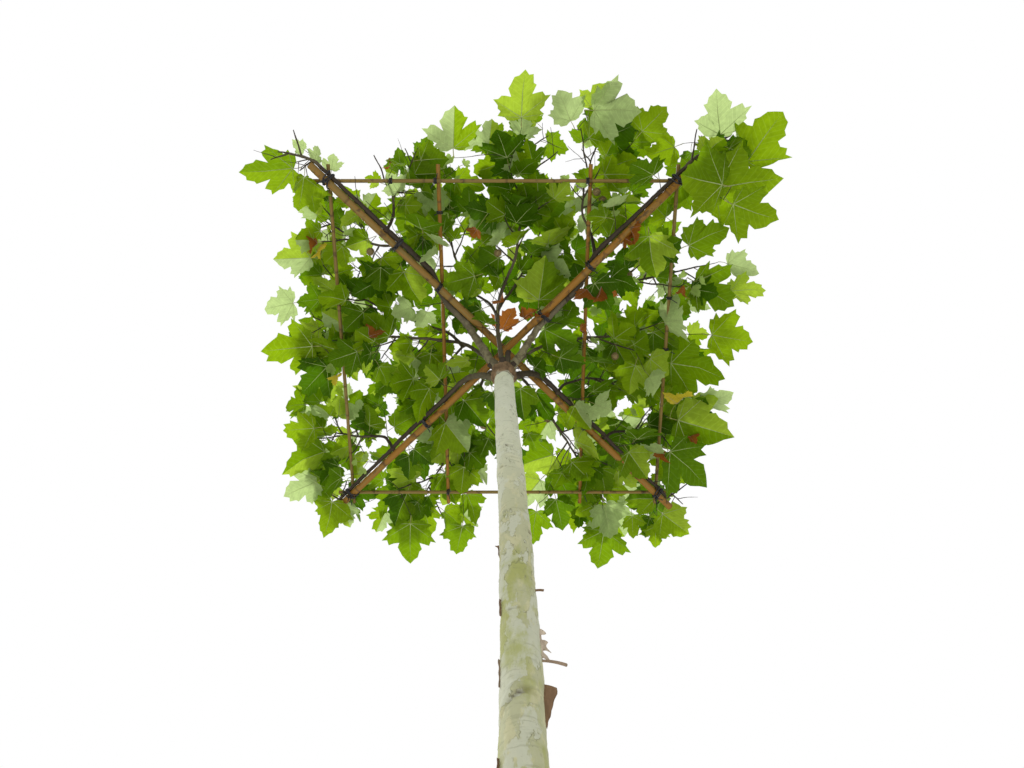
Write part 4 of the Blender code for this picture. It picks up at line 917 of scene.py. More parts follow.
def stem_bough(name):
    """A bough from the stem's head: it climbs to the frame, then runs out flat."""
    degrees, reach, leaves_at, climb, lift, bow, foot, tip = STEM_BOUGHS[name]
    steps = CORNER_BOUGH_STEPS if name in WINDING else BOUGH_STEPS
    share = np.linspace(0, 1, steps + 1) ** STEP_POWER
    radii = foot + (tip - foot) * share**TAPER_POWER
    out = share * reach
    if name in WINDING:
        side, top, cane_level = beside_cane(name, out, radii)
        side = side * smooth(out / SIDE_LEAD)
        level = cane_level + top
    else:
        side = bow * np.sin(share * math.pi)
        level = FRAME_Z + lift
    lead = smooth(out / MIDDLE_LEAD)[:, None]
    plan = stem_axis(leaves_at) * (1 - lead) + np.array((CROWN_X, 0.0, 0.0)) * lead
    points = plan + out[:, None] * bearing(degrees) + side[:, None] * bearing(degrees + 90)
    points[:, 2] = leaves_at + (level - leaves_at) * rising(out / climb)
    return Limb(points, radii)


def side_bough(parent, share, degrees, reach, lift, foot, tip):
    """A bough from another one: it rises over the canes in its first half and then runs level."""
    start, _ = parent.at(share)
    along = np.linspace(0, 1, SIDE_BOUGH_STEPS + 1)
    radii = foot + (tip - foot) * along
    sway = SIDE_BOUGH_SWAY * reach * np.sin(along * math.pi)
    points = start + (along * reach)[:, None] * bearing(degrees) + sway[:, None] * bearing(degrees + 90)
    points[:, 2] = start[2] + (FRAME_Z + lift - start[2]) * rising(along / SIDE_BOUGH_CLIMB)
    return Limb(points, radii)


def tree_boughs():
    """Name to limb, for all boughs."""
    boughs = {name: stem_bough(name) for name in STEM_BOUGHS}
    for name, (parent, *facts) in SIDE_BOUGHS.items():
        boughs[name] = side_bough(boughs[parent], *facts)
    return boughs


def cane(middle, degrees, radius, out, level):
    points = np.array((*middle, 0.0)) + out[:, None] * bearing(degrees) + level[:, None] * UP
    return Limb(points, np.full(len(out), radius))


def frame_canes():
    """Name to limb. The canes lie across each other in layers, each resting on the one below."""
    corner_reach = CORNER + CANE_OVERSHOOT
    side_reach = HALF + CANE_OVERSHOOT
    bowed = np.array((-corner_reach, -CORNER, 0.0, CORNER, corner_reach))
    arched = np.array((-side_reach, -HALF, -HALF / 2, 0.0, HALF / 2, HALF, side_reach))
    straight = np.array((-side_reach, side_reach))
    level = np.ones(2)
    flat = math.cos(math.pi / CANE_SIDES)
    cross_level = FRAME_Z + DIAGONAL_CANE_RADIUS + SIDE_CANE_RADIUS * flat + GAP
    side_level = cross_level + 2 * SIDE_CANE_RADIUS * flat + GAP
    inner_level = cross_level + (SIDE_CANE_RADIUS + INNER_CANE_RADIUS) * flat + GAP
    arch = INNER_CANE_ARCH * np.clip(1 - (arched / HALF) ** 2, 0, 1)
    centre = (CROWN_X, 0.0)
    canes = {}
    for name, degrees in (("cane_diagonal_upper", 45), ("cane_diagonal_lower", 135)):
        drop = cane_drop(degrees, bowed)
        canes[name] = cane(centre, degrees, DIAGONAL_CANE_RADIUS, bowed, FRAME_Z - drop)
    for name, y in (("cane_front", -HALF), ("cane_back", HALF)):
        canes[name] = cane((CROWN_X, y), 0, SIDE_CANE_RADIUS, straight, cross_level * level)
    for name, x in (("cane_left", -HALF), ("cane_right", HALF)):
        canes[name] = cane((CROWN_X + x, 0.0), 90, SIDE_CANE_RADIUS, straight, side_level * level)
    for name, x in zip(("cane_inner_left", "cane_inner_right"), INNER_CANE_X):
        canes[name] = cane((CROWN_X + x, 0.0), 90, INNER_CANE_RADIUS, arched, inner_level + arch)
    return canes


def band_shape(middle, degrees, rounds):
    """A band drawn tight round a bundle, given as circles (across, height, radius) in the plane square
    to the bearing. Each side of the band is a straight line that just clears the furthest circle."""
    across, away = bearing(degrees + 90), bearing(degrees)
    facing = circle(TIE_POINTS)[1]
    reach = np.max([facing @ (x, z) + radius for x, z, radius in rounds], axis=0) + CONTACT
    rows = []
    for thick, along in ((0, -1), (1, -1), (1, 1), (0, 1)):
        line = reach + thick * TIE_THICKNESS
        next_line, next_facing = np.roll(line, -1), np.roll(facing, -1, axis=0)
        area = facing[:, 0] * next_facing[:, 1] - facing[:, 1] * next_facing[:, 0]
        x = (line * next_facing[:, 1] - next_line * facing[:, 1]) / area
        z = (next_line * facing[:, 0] - line * next_facing[:, 0]) / area
        rows.append(middle + x[:, None] * across + z[:, None] * UP + along * TIE_WIDTH / 2 * away)
    faces = []
    for row in range(4):
        for k in range(TIE_POINTS):
            a, b, n = row * TIE_POINTS, (row + 1) % 4 * TIE_POINTS, (k + 1) % TIE_POINTS
            faces.append((a + k, a + n, b + n, b + k))
    return np.concatenate(rows), faces


def bundle(limbs, degrees, out):
    """Circles of the limbs where a band at a distance out along the bearing goes round them."""
    across, away = bearing(degrees + 90), bearing(degrees)
    rounds = []
    for limb in limbs:
        points = limb.points - (CROWN_X, 0.0, 0.0)
        distance = points @ away
        for edge in (out - TIE_WIDTH / 2, out + TIE_WIDTH / 2):
            columns = (points @ across, points[:, 2], limb.radii)
            facts = [np.interp(edge, distance, column) for column in columns]
            rounds.append(tuple(facts))
    return rounds


def tree_ties(boughs, canes):
    """Name to the tie's middle, bearing and circles that it goes round."""
    centre = np.array((CROWN_X, 0.0, 0.0))
    lean = SIDE_CANE_RADIUS * (math.sqrt(2) - 1) + TIE_WIDTH / 2 + CONTACT
    places = {name.replace("bough", "tie_corner"): (name, CORNER) for name in WINDING}
    ties = {}
    for tie, (name, out) in {**places, **CANE_TIES}.items():
        degrees = STEM_BOUGHS[name][0]
        diagonal = canes["cane_diagonal_lower" if degrees % 180 == 135 else "cane_diagonal_upper"]
        if degrees > 180:
            diagonal = Limb(diagonal.points[::-1], diagonal.radii)
        rounds = bundle((diagonal, boughs[name]), degrees, out)
        if tie in places:
            for crossing in ("cane_front", "cane_left"):
                level = canes[crossing].points[0][2]
                rounds += [(side * lean, level, SIDE_CANE_RADIUS) for side in (-1, 1)]
        ties[tie] = (centre + out * bearing(degrees), degrees, rounds)
    return ties


class Placed:
    """Everything placed so far, for testing what touches what."""

    def __init__(self):
        self.lows, self.highs, self.trees, self.owners = [], [], [], []
        self.twig_tips, self.blades, self.frame, self.cross = [], [], None, None

    def hides(self, wood, leaf):
        """True if a leaf stands between the eye point and one of the canes and boughs given."""
        vertices, faces = leaf_shape(*leaf)
        points, places = wood
        near = ((places > seen(vertices).min(0)) & (places < seen(vertices).max(0))).all(1)
        if not near.any():
            return False
        tree = BVHTree.FromPolygons(vertices.tolist(), faces)
        ways = points[near] - EYE
        far = np.linalg.norm(ways, axis=1)
        ways = ways / far[:, None]
        return any(tree.ray_cast(EYE, way, reach)[0] is not None for way, reach in zip(ways, far))

    def add(self, shape, owner):
        vertices, faces = shape
        self.lows.append(vertices.min(0))
        self.highs.append(vertices.max(0))
        self.trees.append(BVHTree.FromPolygons(vertices.tolist(), faces))
        self.owners.append(owner)

    def touches(self, shape, skipped=()):
        """True if the shape's surface crosses anything placed, apart from the owners skipped."""
        vertices, faces = shape
        near = (np.array(self.lows) < vertices.max(0)).all(1)
        near &= (np.array(self.highs) > vertices.min(0)).all(1)
        found = [i for i in np.flatnonzero(near) if self.owners[i] not in skipped]
        if not found:
            return False
        tree = BVHTree.FromPolygons(vertices.tolist(), faces)
        return any(tree.overlap(self.trees[i]) for i in found)

    def crowds(self, root, axis, normal, blade, skipped=()):
        """True if a leaf, where it is or moved a little down or up, touches anything placed."""
        lifted = [root + lift * LEAF_CLEARANCE * normal for lift in (-1, 0, 1)]
        return any(self.touches(leaf_shape(place, axis, normal, blade), skipped) for place in lifted)


def room(point, taken):
    """Distance in plan to the nearest of the points taken, with heights counted a third."""
    if not taken:
        return 1.0
    apart = np.array(taken) - point
    return float(np.sqrt((apart * apart) @ (1.0, 1.0, HEIGHT_SHARE**2)).min())


def rolled(axis, degrees):
    """Normal of a leaf: square to its axis, as upright as can be, then turned about the axis."""
    roll = math.radians(degrees)
    upright = unit(UP - axis * axis[2])
    return upright * math.cos(roll) + np.cross(axis, upright) * math.sin(roll)


def leaf_middle(root, axis, blade):
    return root + axis * (PETIOLE + LEAF_MIDDLE * blade)


def leaf_shape(root, axis, normal, blade):
    """The part's plain leaf: six points round it and one under its middle."""
    side = np.cross(axis, normal)
    rim = [(0.0, 0.0, 0.0)]
    for hand, (x, y, z) in ((1, LOBE), (1, NOTCH), (1, TIP), (-1, NOTCH), (-1, LOBE)):
        rim.append((hand * x * blade, PETIOLE + y * blade, z * blade))
    under = (0.0, PETIOLE + LEAF_MIDDLE * blade, LOBE[2] * blade - BLADE_THICKNESS)
    vertices = root + np.array([*rim, under]) @ np.array((side, axis, normal))
    faces = [(0, 5, 1), (1, 4, 2), (1, 5, 4), (2, 4, 3)]
    faces += [(k, (k + 1) % 6, 6) for k in range(6)]
    return vertices, faces


def ball_shape(middle, radius):
    """A seed ball: the twenty faces of an icosahedron."""
    golden = (1 + math.sqrt(5)) / 2
    corners = []
    for a in (-1, 1):
        for b in (-golden, golden):
            corners += [(0, a, b), (a, b, 0), (b, 0, a)]
    corners = np.array(corners) / math.hypot(1, golden)
    apart = np.linalg.norm(corners[:, None] - corners[None], axis=2)
    near = (apart > 0) & (apart < 1.1)
    faces = []
    for a in range(12):
        for b in range(a + 1, 12):
            for c in range(b + 1, 12):
                if near[a, b] and near[b, c] and near[a, c]:
                    faces.append((a, b, c))
    return middle + radius * corners, faces


class Mass:
    """One mass of foliage: a stem from a bough's tip, twigs from the stem, and leaves along both."""

    def __init__(self, name, placed, spans):
        facts = MASSES[name]
        self.carrier, self.bearing, self.reach, self.rise = facts[:4]
        self.twigs, self.twig_length, self.balls, self.leaf_size = facts[4:]
        self.name, self.placed, self.spans = name, placed, spans
        self.draw = random.Random(name)
        self.limbs, self.leaves, self.fruits = {}, [], []
        self.finer, self.young = False, False

    def owns(self, point):
        """True in this mass's own space: nearer to its stem than to another's, or nearly so."""
        if not LOWEST_LEAF < point[2] < HIGHEST_LEAF:
            return False
        apart = {}
        for name, (start, end) in self.spans.items():
            along = end - start
            share = np.clip((point - start) @ along / (along @ along), 0.0, 1.0)
            apart[name] = np.hypot(*(point - start - share * along)[:2])
        return apart[self.name] < min(apart.values()) + SPACE_OVERLAP

    def grow_stem(self, bough):
        """Starts straight out of the bough's end, then bends to its own bearing and rise."""
        end, heading, radius = bough.points[-1], unit(bough.points[-1] - bough.points[-2]), bough.radii[-1]
        share = np.linspace(0, 1, STEM_STEPS + 1)[:, None]
        for number in range(STEM_TRIES):
            turn = self.bearing + STEM_TURN * (-1) ** number * ((number + 1) // 2)
            tip = end + self.reach * bearing(turn) + UP * (self.rise + STEM_LIFT * number)
            knee = end + heading * STEM_KNEE * self.reach
            points = (1 - share) ** 2 * end + 2 * share * (1 - share) * knee + share**2 * tip
            points[0] = end + heading * GAP
            points[1] = end + heading * STEM_STRAIGHT * self.reach
            stem = Limb(points, radius + (STEM_TIP_RADIUS - radius) * share[:, 0])
            if not self.placed.touches(stem.shape(TWIG_SIDES, LIMB_CLEARANCE), (self.carrier,)):
                break
        self.limbs["stem"] = stem
        self.placed.add(stem.shape(TWIG_SIDES), self.name + "/stem")

    def grow_twig(self, number):
        """Of several twigs about TWIG_TURN round the stem from the last one, keeps the one whose tip has
        the most room. One that leaves the mass's space or touches a limb or a leaf is skipped."""
        stem = self.limbs["stem"]
        share = FIRST_TWIG + TWIG_SPAN * (number + 0.5) / self.twigs
        foot, girth = stem.at(share)
        ahead = stem.along(share)
        side = unit(np.cross(ahead, UP))
        top = np.cross(side, ahead)
        steps = np.linspace(0, 1, TWIG_STEPS + 1)
        best, most = None, 0.0
        for _ in range(TWIG_TRIES):
            turn = math.radians(number * TWIG_TURN + self.draw.uniform(-TWIG_SWING, TWIG_SWING))
            lean = math.radians(self.draw.uniform(*TWIG_ANGLE))
            outward = side * math.cos(turn) + top * (TWIG_FLATNESS * math.sin(turn) + TWIG_RISE)
            way = unit(ahead * math.cos(lean) + outward * math.sin(lean))
            length = self.twig_length * self.draw.uniform(*TWIG_LENGTHS) * (1.0 - TWIG_SHORTENING * share)
            bend = self.draw.uniform(*TWIG_BEND) * length
            points = foot + (steps * length)[:, None] * way + (steps**2 * bend)[:, None] * UP
            radius = min(TWIG_RADIUS, girth * TWIG_SHARE)
            twig = Limb(points, radius + (TWIG_TIP_RADIUS - radius) * steps)
            space = room(points[-1], self.placed.twig_tips)
            if space <= most or not self.owns(points[-1] + way * TWIG_AHEAD):
                continue
            if self.placed.touches(twig.shape(TWIG_SIDES, LIMB_CLEARANCE), (self.name + "/stem",)):
                continue
            best, most = twig, space
        if best:
            label = f"twig_{number}"
            self.limbs[label] = best
            self.placed.twig_tips.append(best.points[-1])
            self.placed.add(best.shape(TWIG_SIDES), f"{self.name}/{label}")

    def grow_leaves(self, label):
        """Leaves on alternate sides of a limb, the last at its tip."""
        limb = self.limbs[label]
        first = FIRST_STEM_LEAF if label == "stem" else FIRST_TWIG_LEAF
        count = max(2, round(limb.length() * (1 - first) / LEAF_SPACING))
        for number in range(count + 1):
            share = min(first + (1 - first) * number / count, LAST_LEAF)
            self.grow_leaf(label, share, number, number == count)

    def grow_leaf(self, label, share, number, last, tries=LEAF_TRIES):
        """Of several ways to hold a leaf, keeps the one with the most room. A leaf that leaves the
        mass's space or touches anything is skipped. Finer growth also keeps gaps and the crown's reach."""
        limb = self.limbs[label]
        root = limb.at(share)[0]
        ahead = limb.along(share)
        level = unit(np.cross(ahead, UP))
        outward = unit(np.array((root[0] - CROWN_X + 1e-6, root[1], 0.0)))
        own = f"{self.name}/{label}"
        best, most = None, 0.0
        for attempt in range(tries):
            hand = 1 if (number + attempt // (LEAF_TRIES // 2)) % 2 else -1
            sideways = self.draw.uniform(*TIP_SIDEWAYS) if last else hand * self.draw.uniform(*LEAF_SIDEWAYS)
            way = ahead * (1.0 if last else LEAF_AHEAD) + sideways * level + LEAF_OUTWARD * outward
            droop, most_roll = (FINER_DROOP, FINER_ROLL) if self.finer else (LEAF_DROOP, LEAF_ROLL)
            axis = unit(unit(way) - self.draw.uniform(*droop) * UP)
            normal = rolled(axis, self.draw.uniform(-most_roll, most_roll))
            blade = self.draw.uniform(*BLADE) * self.leaf_size * (1 - LEAF_SHRINK * attempt)
            middle = leaf_middle(root, axis, blade)
            space = (seen_room if self.finer else room)(middle, self.placed.blades)
            if space <= most or not self.owns(middle):
                continue
            held = (root, axis, normal, blade)
            if self.finer and not open_place(held):
                continue
            if self.finer and self.placed.hides(self.placed.frame, held):
                if np.hypot(*seen(middle)) < HEAD_ROOM or self.draw.random() > HANGING_SHARE:
                    continue
            if self.placed.crowds(root, axis, normal, blade + LEAF_CLEARANCE, (own,)):
                continue
            best, most = (*held, middle), space
        if best:
            self.leaves.append((*best[:4], own, "young" if self.young else None))
            self.placed.add(leaf_shape(*best[:4]), self.name + "/leaf")
            self.placed.blades.append(best[4])

    def hang_balls(self):
        """Seed balls on thin stalks under the first twigs that have room for one."""
        for label in list(self.limbs)[1:]:
            if len(self.fruits) == self.balls:
                return
            root = self.limbs[label].at(BALL_PLACE)[0]
            swing = bearing(self.draw.uniform(0, 360))
            foot = root - UP * BALL_STALK + swing * BALL_SWING
            stalk = tube(np.linspace(root, foot, 2), STALK_RADIUS, TWIG_SIDES, reference=swing)
            ball = ball_shape(foot, BALL_RADIUS)
            clear = ball_shape(foot, BALL_RADIUS + LEAF_CLEARANCE)
            if self.placed.touches(clear) or self.placed.touches(stalk, (f"{self.name}/{label}",)):
                continue
            self.fruits.append((root, foot))
            self.placed.add(ball, self.name + "/ball")
            self.placed.add(stalk, self.name + "/ball")

    def grow_twiglets(self, label, count, lengths, size, tries):
        """Finer twigs on alternate sides of a limb, each with its own leaves, where there is most room."""
        self.finer = True
        limb, whole = self.limbs[label], self.leaf_size
        for number in range(count):
            share = min(FIRST_TWIGLET + TWIGLET_SPAN * (number + self.draw.random()) / count, LAST_TWIGLET)
            foot, ahead = limb.at(share)[0], limb.along(share)
            level = unit(np.cross(ahead, UP))
            best, most = None, 0.0
            for attempt in range(tries):
                hand = 1 if (number + attempt) % 2 else -1
                way = TWIGLET_FORWARD * ahead + hand * self.draw.uniform(*TWIGLET_SIDEWAYS) * level
                way = unit(way + self.draw.uniform(*TWIGLET_UPWARD) * UP)
                tip = foot + self.draw.uniform(*lengths) * way
                twig = Limb((foot, tip), (TWIGLET_RADIUS, TWIGLET_TIP_RADIUS))
                past = tip + TWIGLET_AHEAD * way
                space = seen_room(past, self.placed.blades)
                if space <= most or not self.owns(past) or not in_crown(past):
                    continue
                carriers = (f"{self.name}/{label}", label)
                if self.placed.touches(twig.shape(TWIG_SIDES, LIMB_CLEARANCE), carriers):
                    continue
                best, most = twig, space
            if not best:
                continue
            made = f"{label}_{number}"
            self.limbs[made] = best
            self.placed.add(best.shape(TWIG_SIDES), f"{self.name}/{made}")
            self.young = self.draw.random() < YOUNG_SHARE
            self.leaf_size = whole * (YOUNG_LEAF if self.young else size * self.draw.uniform(*FINER_SIZES))
            for place, share in enumerate(YOUNG_LEAVES if self.young else TWIGLET_LEAVES):
                self.grow_leaf(made, share, place, place == 0, tries=LEAF_TRIES // 2)
        self.leaf_size, self.young = whole, False

    def grow_bare_twigs(self):
        """A few thin twigs that have no leaves."""
        labels = [label for label in self.limbs if label.count("_") <= 1]
        for number in range(BARE_TWIGS):
            label = self.draw.choice(labels)
            limb, share = self.limbs[label], self.draw.uniform(*BARE_PLACE)
            foot, ahead = limb.at(share)[0], limb.along(share)
            level = unit(np.cross(ahead, UP)) * self.draw.choice((-1, 1))
            way = BARE_FORWARD * ahead + self.draw.uniform(*BARE_SIDEWAYS) * level
            way = unit(way + self.draw.uniform(*BARE_UPWARD) * UP)
            end = foot + way * self.draw.uniform(*BARE_TWIG_LENGTH)
            if self.owns(end):
                radii = (TWIGLET_RADIUS, BARE_TIP * TWIGLET_TIP_RADIUS)
                self.limbs[f"bare_twig_{number}"] = Limb((foot, end), radii)


class Spurs(Mass):
    """Short leafy twigs straight from a bough."""

    def __init__(self, name, bough, placed):
        self.name, self.placed, self.leaf_size = name, placed, 1.0
        self.draw = random.Random(name + "/spurs")
        self.limbs, self.leaves, self.fruits = {name: bough}, [], []
        self.finer, self.young = True, False

    def owns(self, point):
        return LOWEST_SPUR < point[2] < HIGHEST_LEAF

    def grow(self):
        kind = "corner" if self.name in WINDING else "bough" if self.name in STEM_BOUGHS else "side"
        self.grow_twiglets(self.name, TWIGLETS[kind], SPUR_LENGTH, SPUR_LEAF, SPUR_TRIES)
        del self.limbs[self.name]


def seen(points):
    """Places on the frame's level, from the crown's middle, that hide the points from the eye point."""
    points = np.asarray(points, float)
    share = (FRAME_Z - EYE[2]) / (points[..., 2:] - EYE[2])
    return (EYE + (points - EYE) * share)[..., :2] - (CROWN_X, 0.0)


def seen_room(point, taken):
    """Distance on the frame's level, as seen from the eye point, to the nearest of the points taken."""
    return float(np.hypot(*(seen(taken) - seen(point)).T).min())


def in_crown(points):
    """True for points inside the crown's outline, as seen from the eye point: the reach in each direction
    is read between the outline's corners."""
    corners = OUTLINE - (CROWN_X, 0.0)
    turns, places = (np.arctan2(place[..., 1], place[..., 0]) for place in (corners, seen(points)))
    reach = np.hypot(*np.moveaxis(seen(points), -1, 0))
    order = turns.argsort()
    limit = np.interp(places, turns[order], np.hypot(*corners.T)[order], period=2 * math.pi)
    return reach < limit + OUTLINE_MARGIN


def open_place(leaf):
    """True if a leaf lies within the crown's reach and leaves the gaps open."""
    root, axis, normal, blade = leaf
    if not in_crown(leaf_shape(root, axis, normal, blade)[0]).all():
        return False
    middle = seen(leaf_middle(root, axis, blade))
    apart = np.hypot(*(GAPS[:, :2] - (CROWN_X, 0.0) - middle).T)
    return bool((apart > GAPS[:, 2] + LEAF_REACH * blade).all())


def fitted(leaf):
    """The leaf, made smaller if it would cross the crown's reach or close a gap, or None if it still does."""
    for size in LEAF_SIZES:
        smaller = (*leaf[:3], leaf[3] * size)
        if open_place(smaller):
            return (*smaller, *leaf[4:])
    return None


def over_cross(leaf, placed):
    """True if a leaf hides the crossed canes and their boughs from the eye point, or, close to the stem's
    head, any other."""
    root, axis, normal, blade = leaf[:4]
    reach = np.hypot(*seen(leaf_middle(root, axis, blade)))
    if reach < HEAD_ROOM and placed.hides(placed.frame, (root, axis, normal, blade)):
        return True
    return bool(reach < CROSS_ROOM and placed.hides(placed.cross, (root, axis, normal, blade)))


def grow_lone_leaves(masses, placed):
    """The leaves that are placed one by one. Each has a thin twig from the nearest limb, and is moved up or
    down, along the line from the eye point, to where it touches nothing."""
    for number, (x, y, over, degrees, droop, roll, blade, tint) in enumerate(LONE_LEAVES):
        axis = unit(bearing(degrees) - droop * UP)
        normal = rolled(axis, roll)
        for step in LONE_STEPS:
            height = FRAME_Z + over + step
            share = (height - EYE[2]) / (FRAME_Z - EYE[2])
            root = EYE + (np.array((x, y, FRAME_Z)) - EYE) * share - axis * PETIOLE
            if not placed.crowds(root, axis, normal, blade):
                break
        else:
            continue
        near = [
            (np.linalg.norm(limb.at(share)[0] - root), mass, label, share)
            for mass in masses for label, limb in mass.limbs.items() for share in LONE_PLACES
        ]
        _, mass, label, share = min(near, key=lambda found: found[0])
        foot = mass.limbs[label].at(share)[0]
        mass.limbs[f"lone_twig_{number}"] = Limb((foot, root), (TWIGLET_RADIUS, TWIGLET_TIP_RADIUS))
        mass.leaves.append((root, axis, normal, blade, f"{mass.name}/lone_{number}", tint))
        placed.add(leaf_shape(root, axis, normal, blade), mass.name + "/leaf")
        placed.blades.append(leaf_middle(root, axis, blade))


def grow_crown(boughs, canes, ties):
    """All masses, grown round the limbs, the canes and each other: stems, then twigs, then leaves, and
    then, past the part's own rule, the spurs and the finer twigs."""
    placed = Placed()
    placed.add(stem_shape(LIMB_CLEARANCE), "stem")
    for name, limb in (*boughs.items(), *canes.items()):
        placed.add(limb.shape(CANE_SIDES, LIMB_CLEARANCE), name)
    for name, place in ties.items():
        placed.add(band_shape(*place), name)
    wood = list(boughs.values()) + list(canes.values())
    crossed = [boughs[name] for name in WINDING]
    crossed += [canes["cane_diagonal_upper"], canes["cane_diagonal_lower"]]
    points = [np.concatenate([limb.curve(HIDING_STEP)[0] for limb in limbs]) for limbs in (wood, crossed)]
    placed.frame, placed.cross = ((places, seen(places)) for places in points)
    spans = {}
    for name, (carrier, degrees, reach, *_) in MASSES.items():
        start = boughs[carrier].points[-1]
        spans[name] = (start, start + reach * bearing(degrees))
    masses = [Mass(name, placed, spans) for name in MASSES]
    for mass in masses:
        mass.grow_stem(boughs[mass.carrier])
    for mass in masses:
        for number in range(mass.twigs):
            mass.grow_twig(number)
    for mass in masses:
        for label in mass.limbs:
            mass.grow_leaves(label)
        mass.hang_balls()
    for mass in masses:
        mass.leaves = [leaf for leaf in map(fitted, mass.leaves) if leaf and not over_cross(leaf, placed)]
    grow_lone_leaves(masses, placed)
    spurs = [Spurs(name, bough, placed) for name, bough in boughs.items()]
    for spur in spurs:
        spur.grow()
    for mass in masses:
        for label in list(mass.limbs):
            kind = label.split("_")[0]
            mass.grow_twiglets(label, TWIGLETS[kind], TWIGLET_LENGTH, TWIGLET_LEAF, TWIGLET_TRIES)
        mass.grow_bare_twigs()
    return masses + spurs


class Tree:
    """The limbs, canes, ties and masses that every operator reads, grown once."""

    grown = None

    def __init__(self):
        self.boughs, self.canes = tree_boughs(), frame_canes()
        self.ties = tree_ties(self.boughs, self.canes)
        self.masses = grow_crown(self.boughs, self.canes, self.ties)

    @classmethod
    def get(cls):
        if cls.grown is None:
            cls.grown = cls()
        return cls.grown


# Meshes


class Surface:
    """Gathers the patches of one piece."""

    def __init__(self):
        self.points, self.faces, self.slots, self.values, self.count = [], [], [], {}, 0

    def add(self, points, faces, slot=0, **values):
        """Points, and faces of four corners, the last of which is -1 in a triangle. The slot is one number
        or one for each face. Each value has one number, or one pair for a UV map, at each point."""
        points, faces = np.asarray(points, float), np.asarray(faces)
        self.points.append(points)
        self.faces.append(np.where(faces >= 0, faces + self.count, -1))
        self.slots.append(np.broadcast_to(slot, (len(faces),)))
        self.count += len(points)
        for label, value in values.items():
            value = np.asarray(value, float)
            shape = (len(points), *value.shape[1:]) if value.ndim else (len(points),)
            self.values.setdefault(label, []).append(np.broadcast_to(value, shape))

    def piece(self, name, materials, slot, *replaced):
        """The finished mesh object: on body root, for the CAD nodes it replaces. The slot is not used."""
        points, faces = np.concatenate(self.points), np.concatenate(self.faces)
        sizes = (faces >= 0).sum(1)
        corners = faces[faces >= 0]
        mesh = bpy.data.meshes.new(name)
        mesh.vertices.add(len(points))
        mesh.vertices.foreach_set("co", points.astype(np.float32).ravel())
        mesh.loops.add(len(corners))
        mesh.loops.foreach_set("vertex_index", corners.astype(np.int32))
        mesh.polygons.add(len(sizes))
        starts = np.concatenate(([0], np.cumsum(sizes)[:-1]))
        mesh.polygons.foreach_set("loop_start", starts.astype(np.int32))
        mesh.polygons.foreach_set("material_index", np.concatenate(self.slots).astype(np.int32))
        mesh.polygons.foreach_set("use_smooth", np.ones(len(sizes), bool))
        for label, columns in self.values.items():
            column = np.concatenate(columns)
            if column.ndim == 2:
                places = column[corners].astype(np.float32).ravel()
                mesh.uv_layers.new(name=label).uv.foreach_set("vector", places)
            else:
                spot = mesh.attributes.new(label, "FLOAT", "POINT")
                spot.data.foreach_set("value", column.astype(np.float32))
        mesh.update(calc_edges=True)
        if mesh.validate():
            raise RuntimeError(f"{name} has bad faces")
        for finish in materials:
            mesh.materials.append(finish)
        made = bpy.data.objects.new(name, mesh)
        bpy.context.scene.collection.objects.link(made)
        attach(made, "root")
        if replaced:
            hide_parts(*replaced)
        return made


def add_closed(surface, body, ends, slot=0, **values):
    """Adds rings of points, closed at both ends with a fan of triangles to the end's middle point. A value
    has one number, or one pair, at each point of each ring."""
    rows, columns = body.shape[:2]
    k = np.arange(columns)
    after, far, none = (k + 1) % columns, (rows - 1) * columns, np.full(columns, -1)
    start = np.stack((np.full(columns, rows * columns), k, after, none), 1)
    finish = np.stack((np.full(columns, rows * columns + 1), far + after, far + k, none), 1)
    flat = {}
    for label, value in values.items():
        value = np.broadcast_to(value, (rows, columns, *np.shape(value)[2:]))
        whole = value.reshape(rows * columns, *value.shape[2:])
        flat[label] = np.concatenate((whole, value[0, :1], value[-1, :1]))
    faces = np.concatenate((grid_faces(rows, columns), start, finish))
    surface.add(np.concatenate((body.reshape(-1, 3), ends)), faces, slot, **flat)


def add_skin(surface, points, radii, sides, slot=0, reference=UP, **values):
    """Adds a closed round tube: the rings of a circle carried along a path. A value is one for each ring."""
    values = {label: np.broadcast_to(value, (len(points),))[:, None] for label, value in values.items()}
    add_closed(surface, rings(points, radii, sides, reference), points[[0, -1]], slot, **values)


def add_tail(surface, foot, way, steps, reach, drop, radius, sides, sway=0.0):
    """Adds a loose end of cord: a tube along a line that hangs down by the square of the way along it."""
    t = np.linspace(0, 1, steps)[:, None]
    tail = foot + t * reach * way - UP * drop * t**2 + sway * np.sin(t * 5)
    add_skin(surface, tail, radius, sides, reference=unit(np.cross(way, UP)))


def copies(faces, points, count):
    """The faces of one small shape, repeated for copies that follow each other in one array of points."""
    faces = np.asarray(faces)[None]
    return np.where(faces >= 0, faces + (np.arange(count) * points)[:, None, None], -1).reshape(-1, 4)


def hump(place, middle, width):
    """Bell curve: 1 at the middle, and away from it e to the minus square of the distance in widths."""
    return np.exp(-(((place - middle) / width) ** 2))


def circle(count):
    """Angles of equal steps round a circle, and the direction at each."""
    turn = np.arange(count) * 2 * math.pi / count
    return turn, np.stack((np.cos(turn), np.sin(turn)), 1)


def joined(*columns):
    """Points from arrays of their coordinates, each stretched to the shape of all."""
    return np.stack(np.broadcast_arrays(*columns), -1)


def waves(points, size, seed, count=18):
    """Smooth random values of about -1 to 1: the sum of plane waves in random directions, all about one
    size long."""
    draw = np.random.default_rng(seed)
    ways = draw.normal(size=(count, 3))
    lengths = np.linalg.norm(ways, axis=1)[:, None]
    ways *= (2 * math.pi / size) * draw.uniform(0.6, 1.4, count)[:, None] / lengths
    phases = draw.uniform(0, 2 * math.pi, count)
    return np.cos(points @ ways.T + phases).sum(-1) / math.sqrt(count / 2) / 1.6


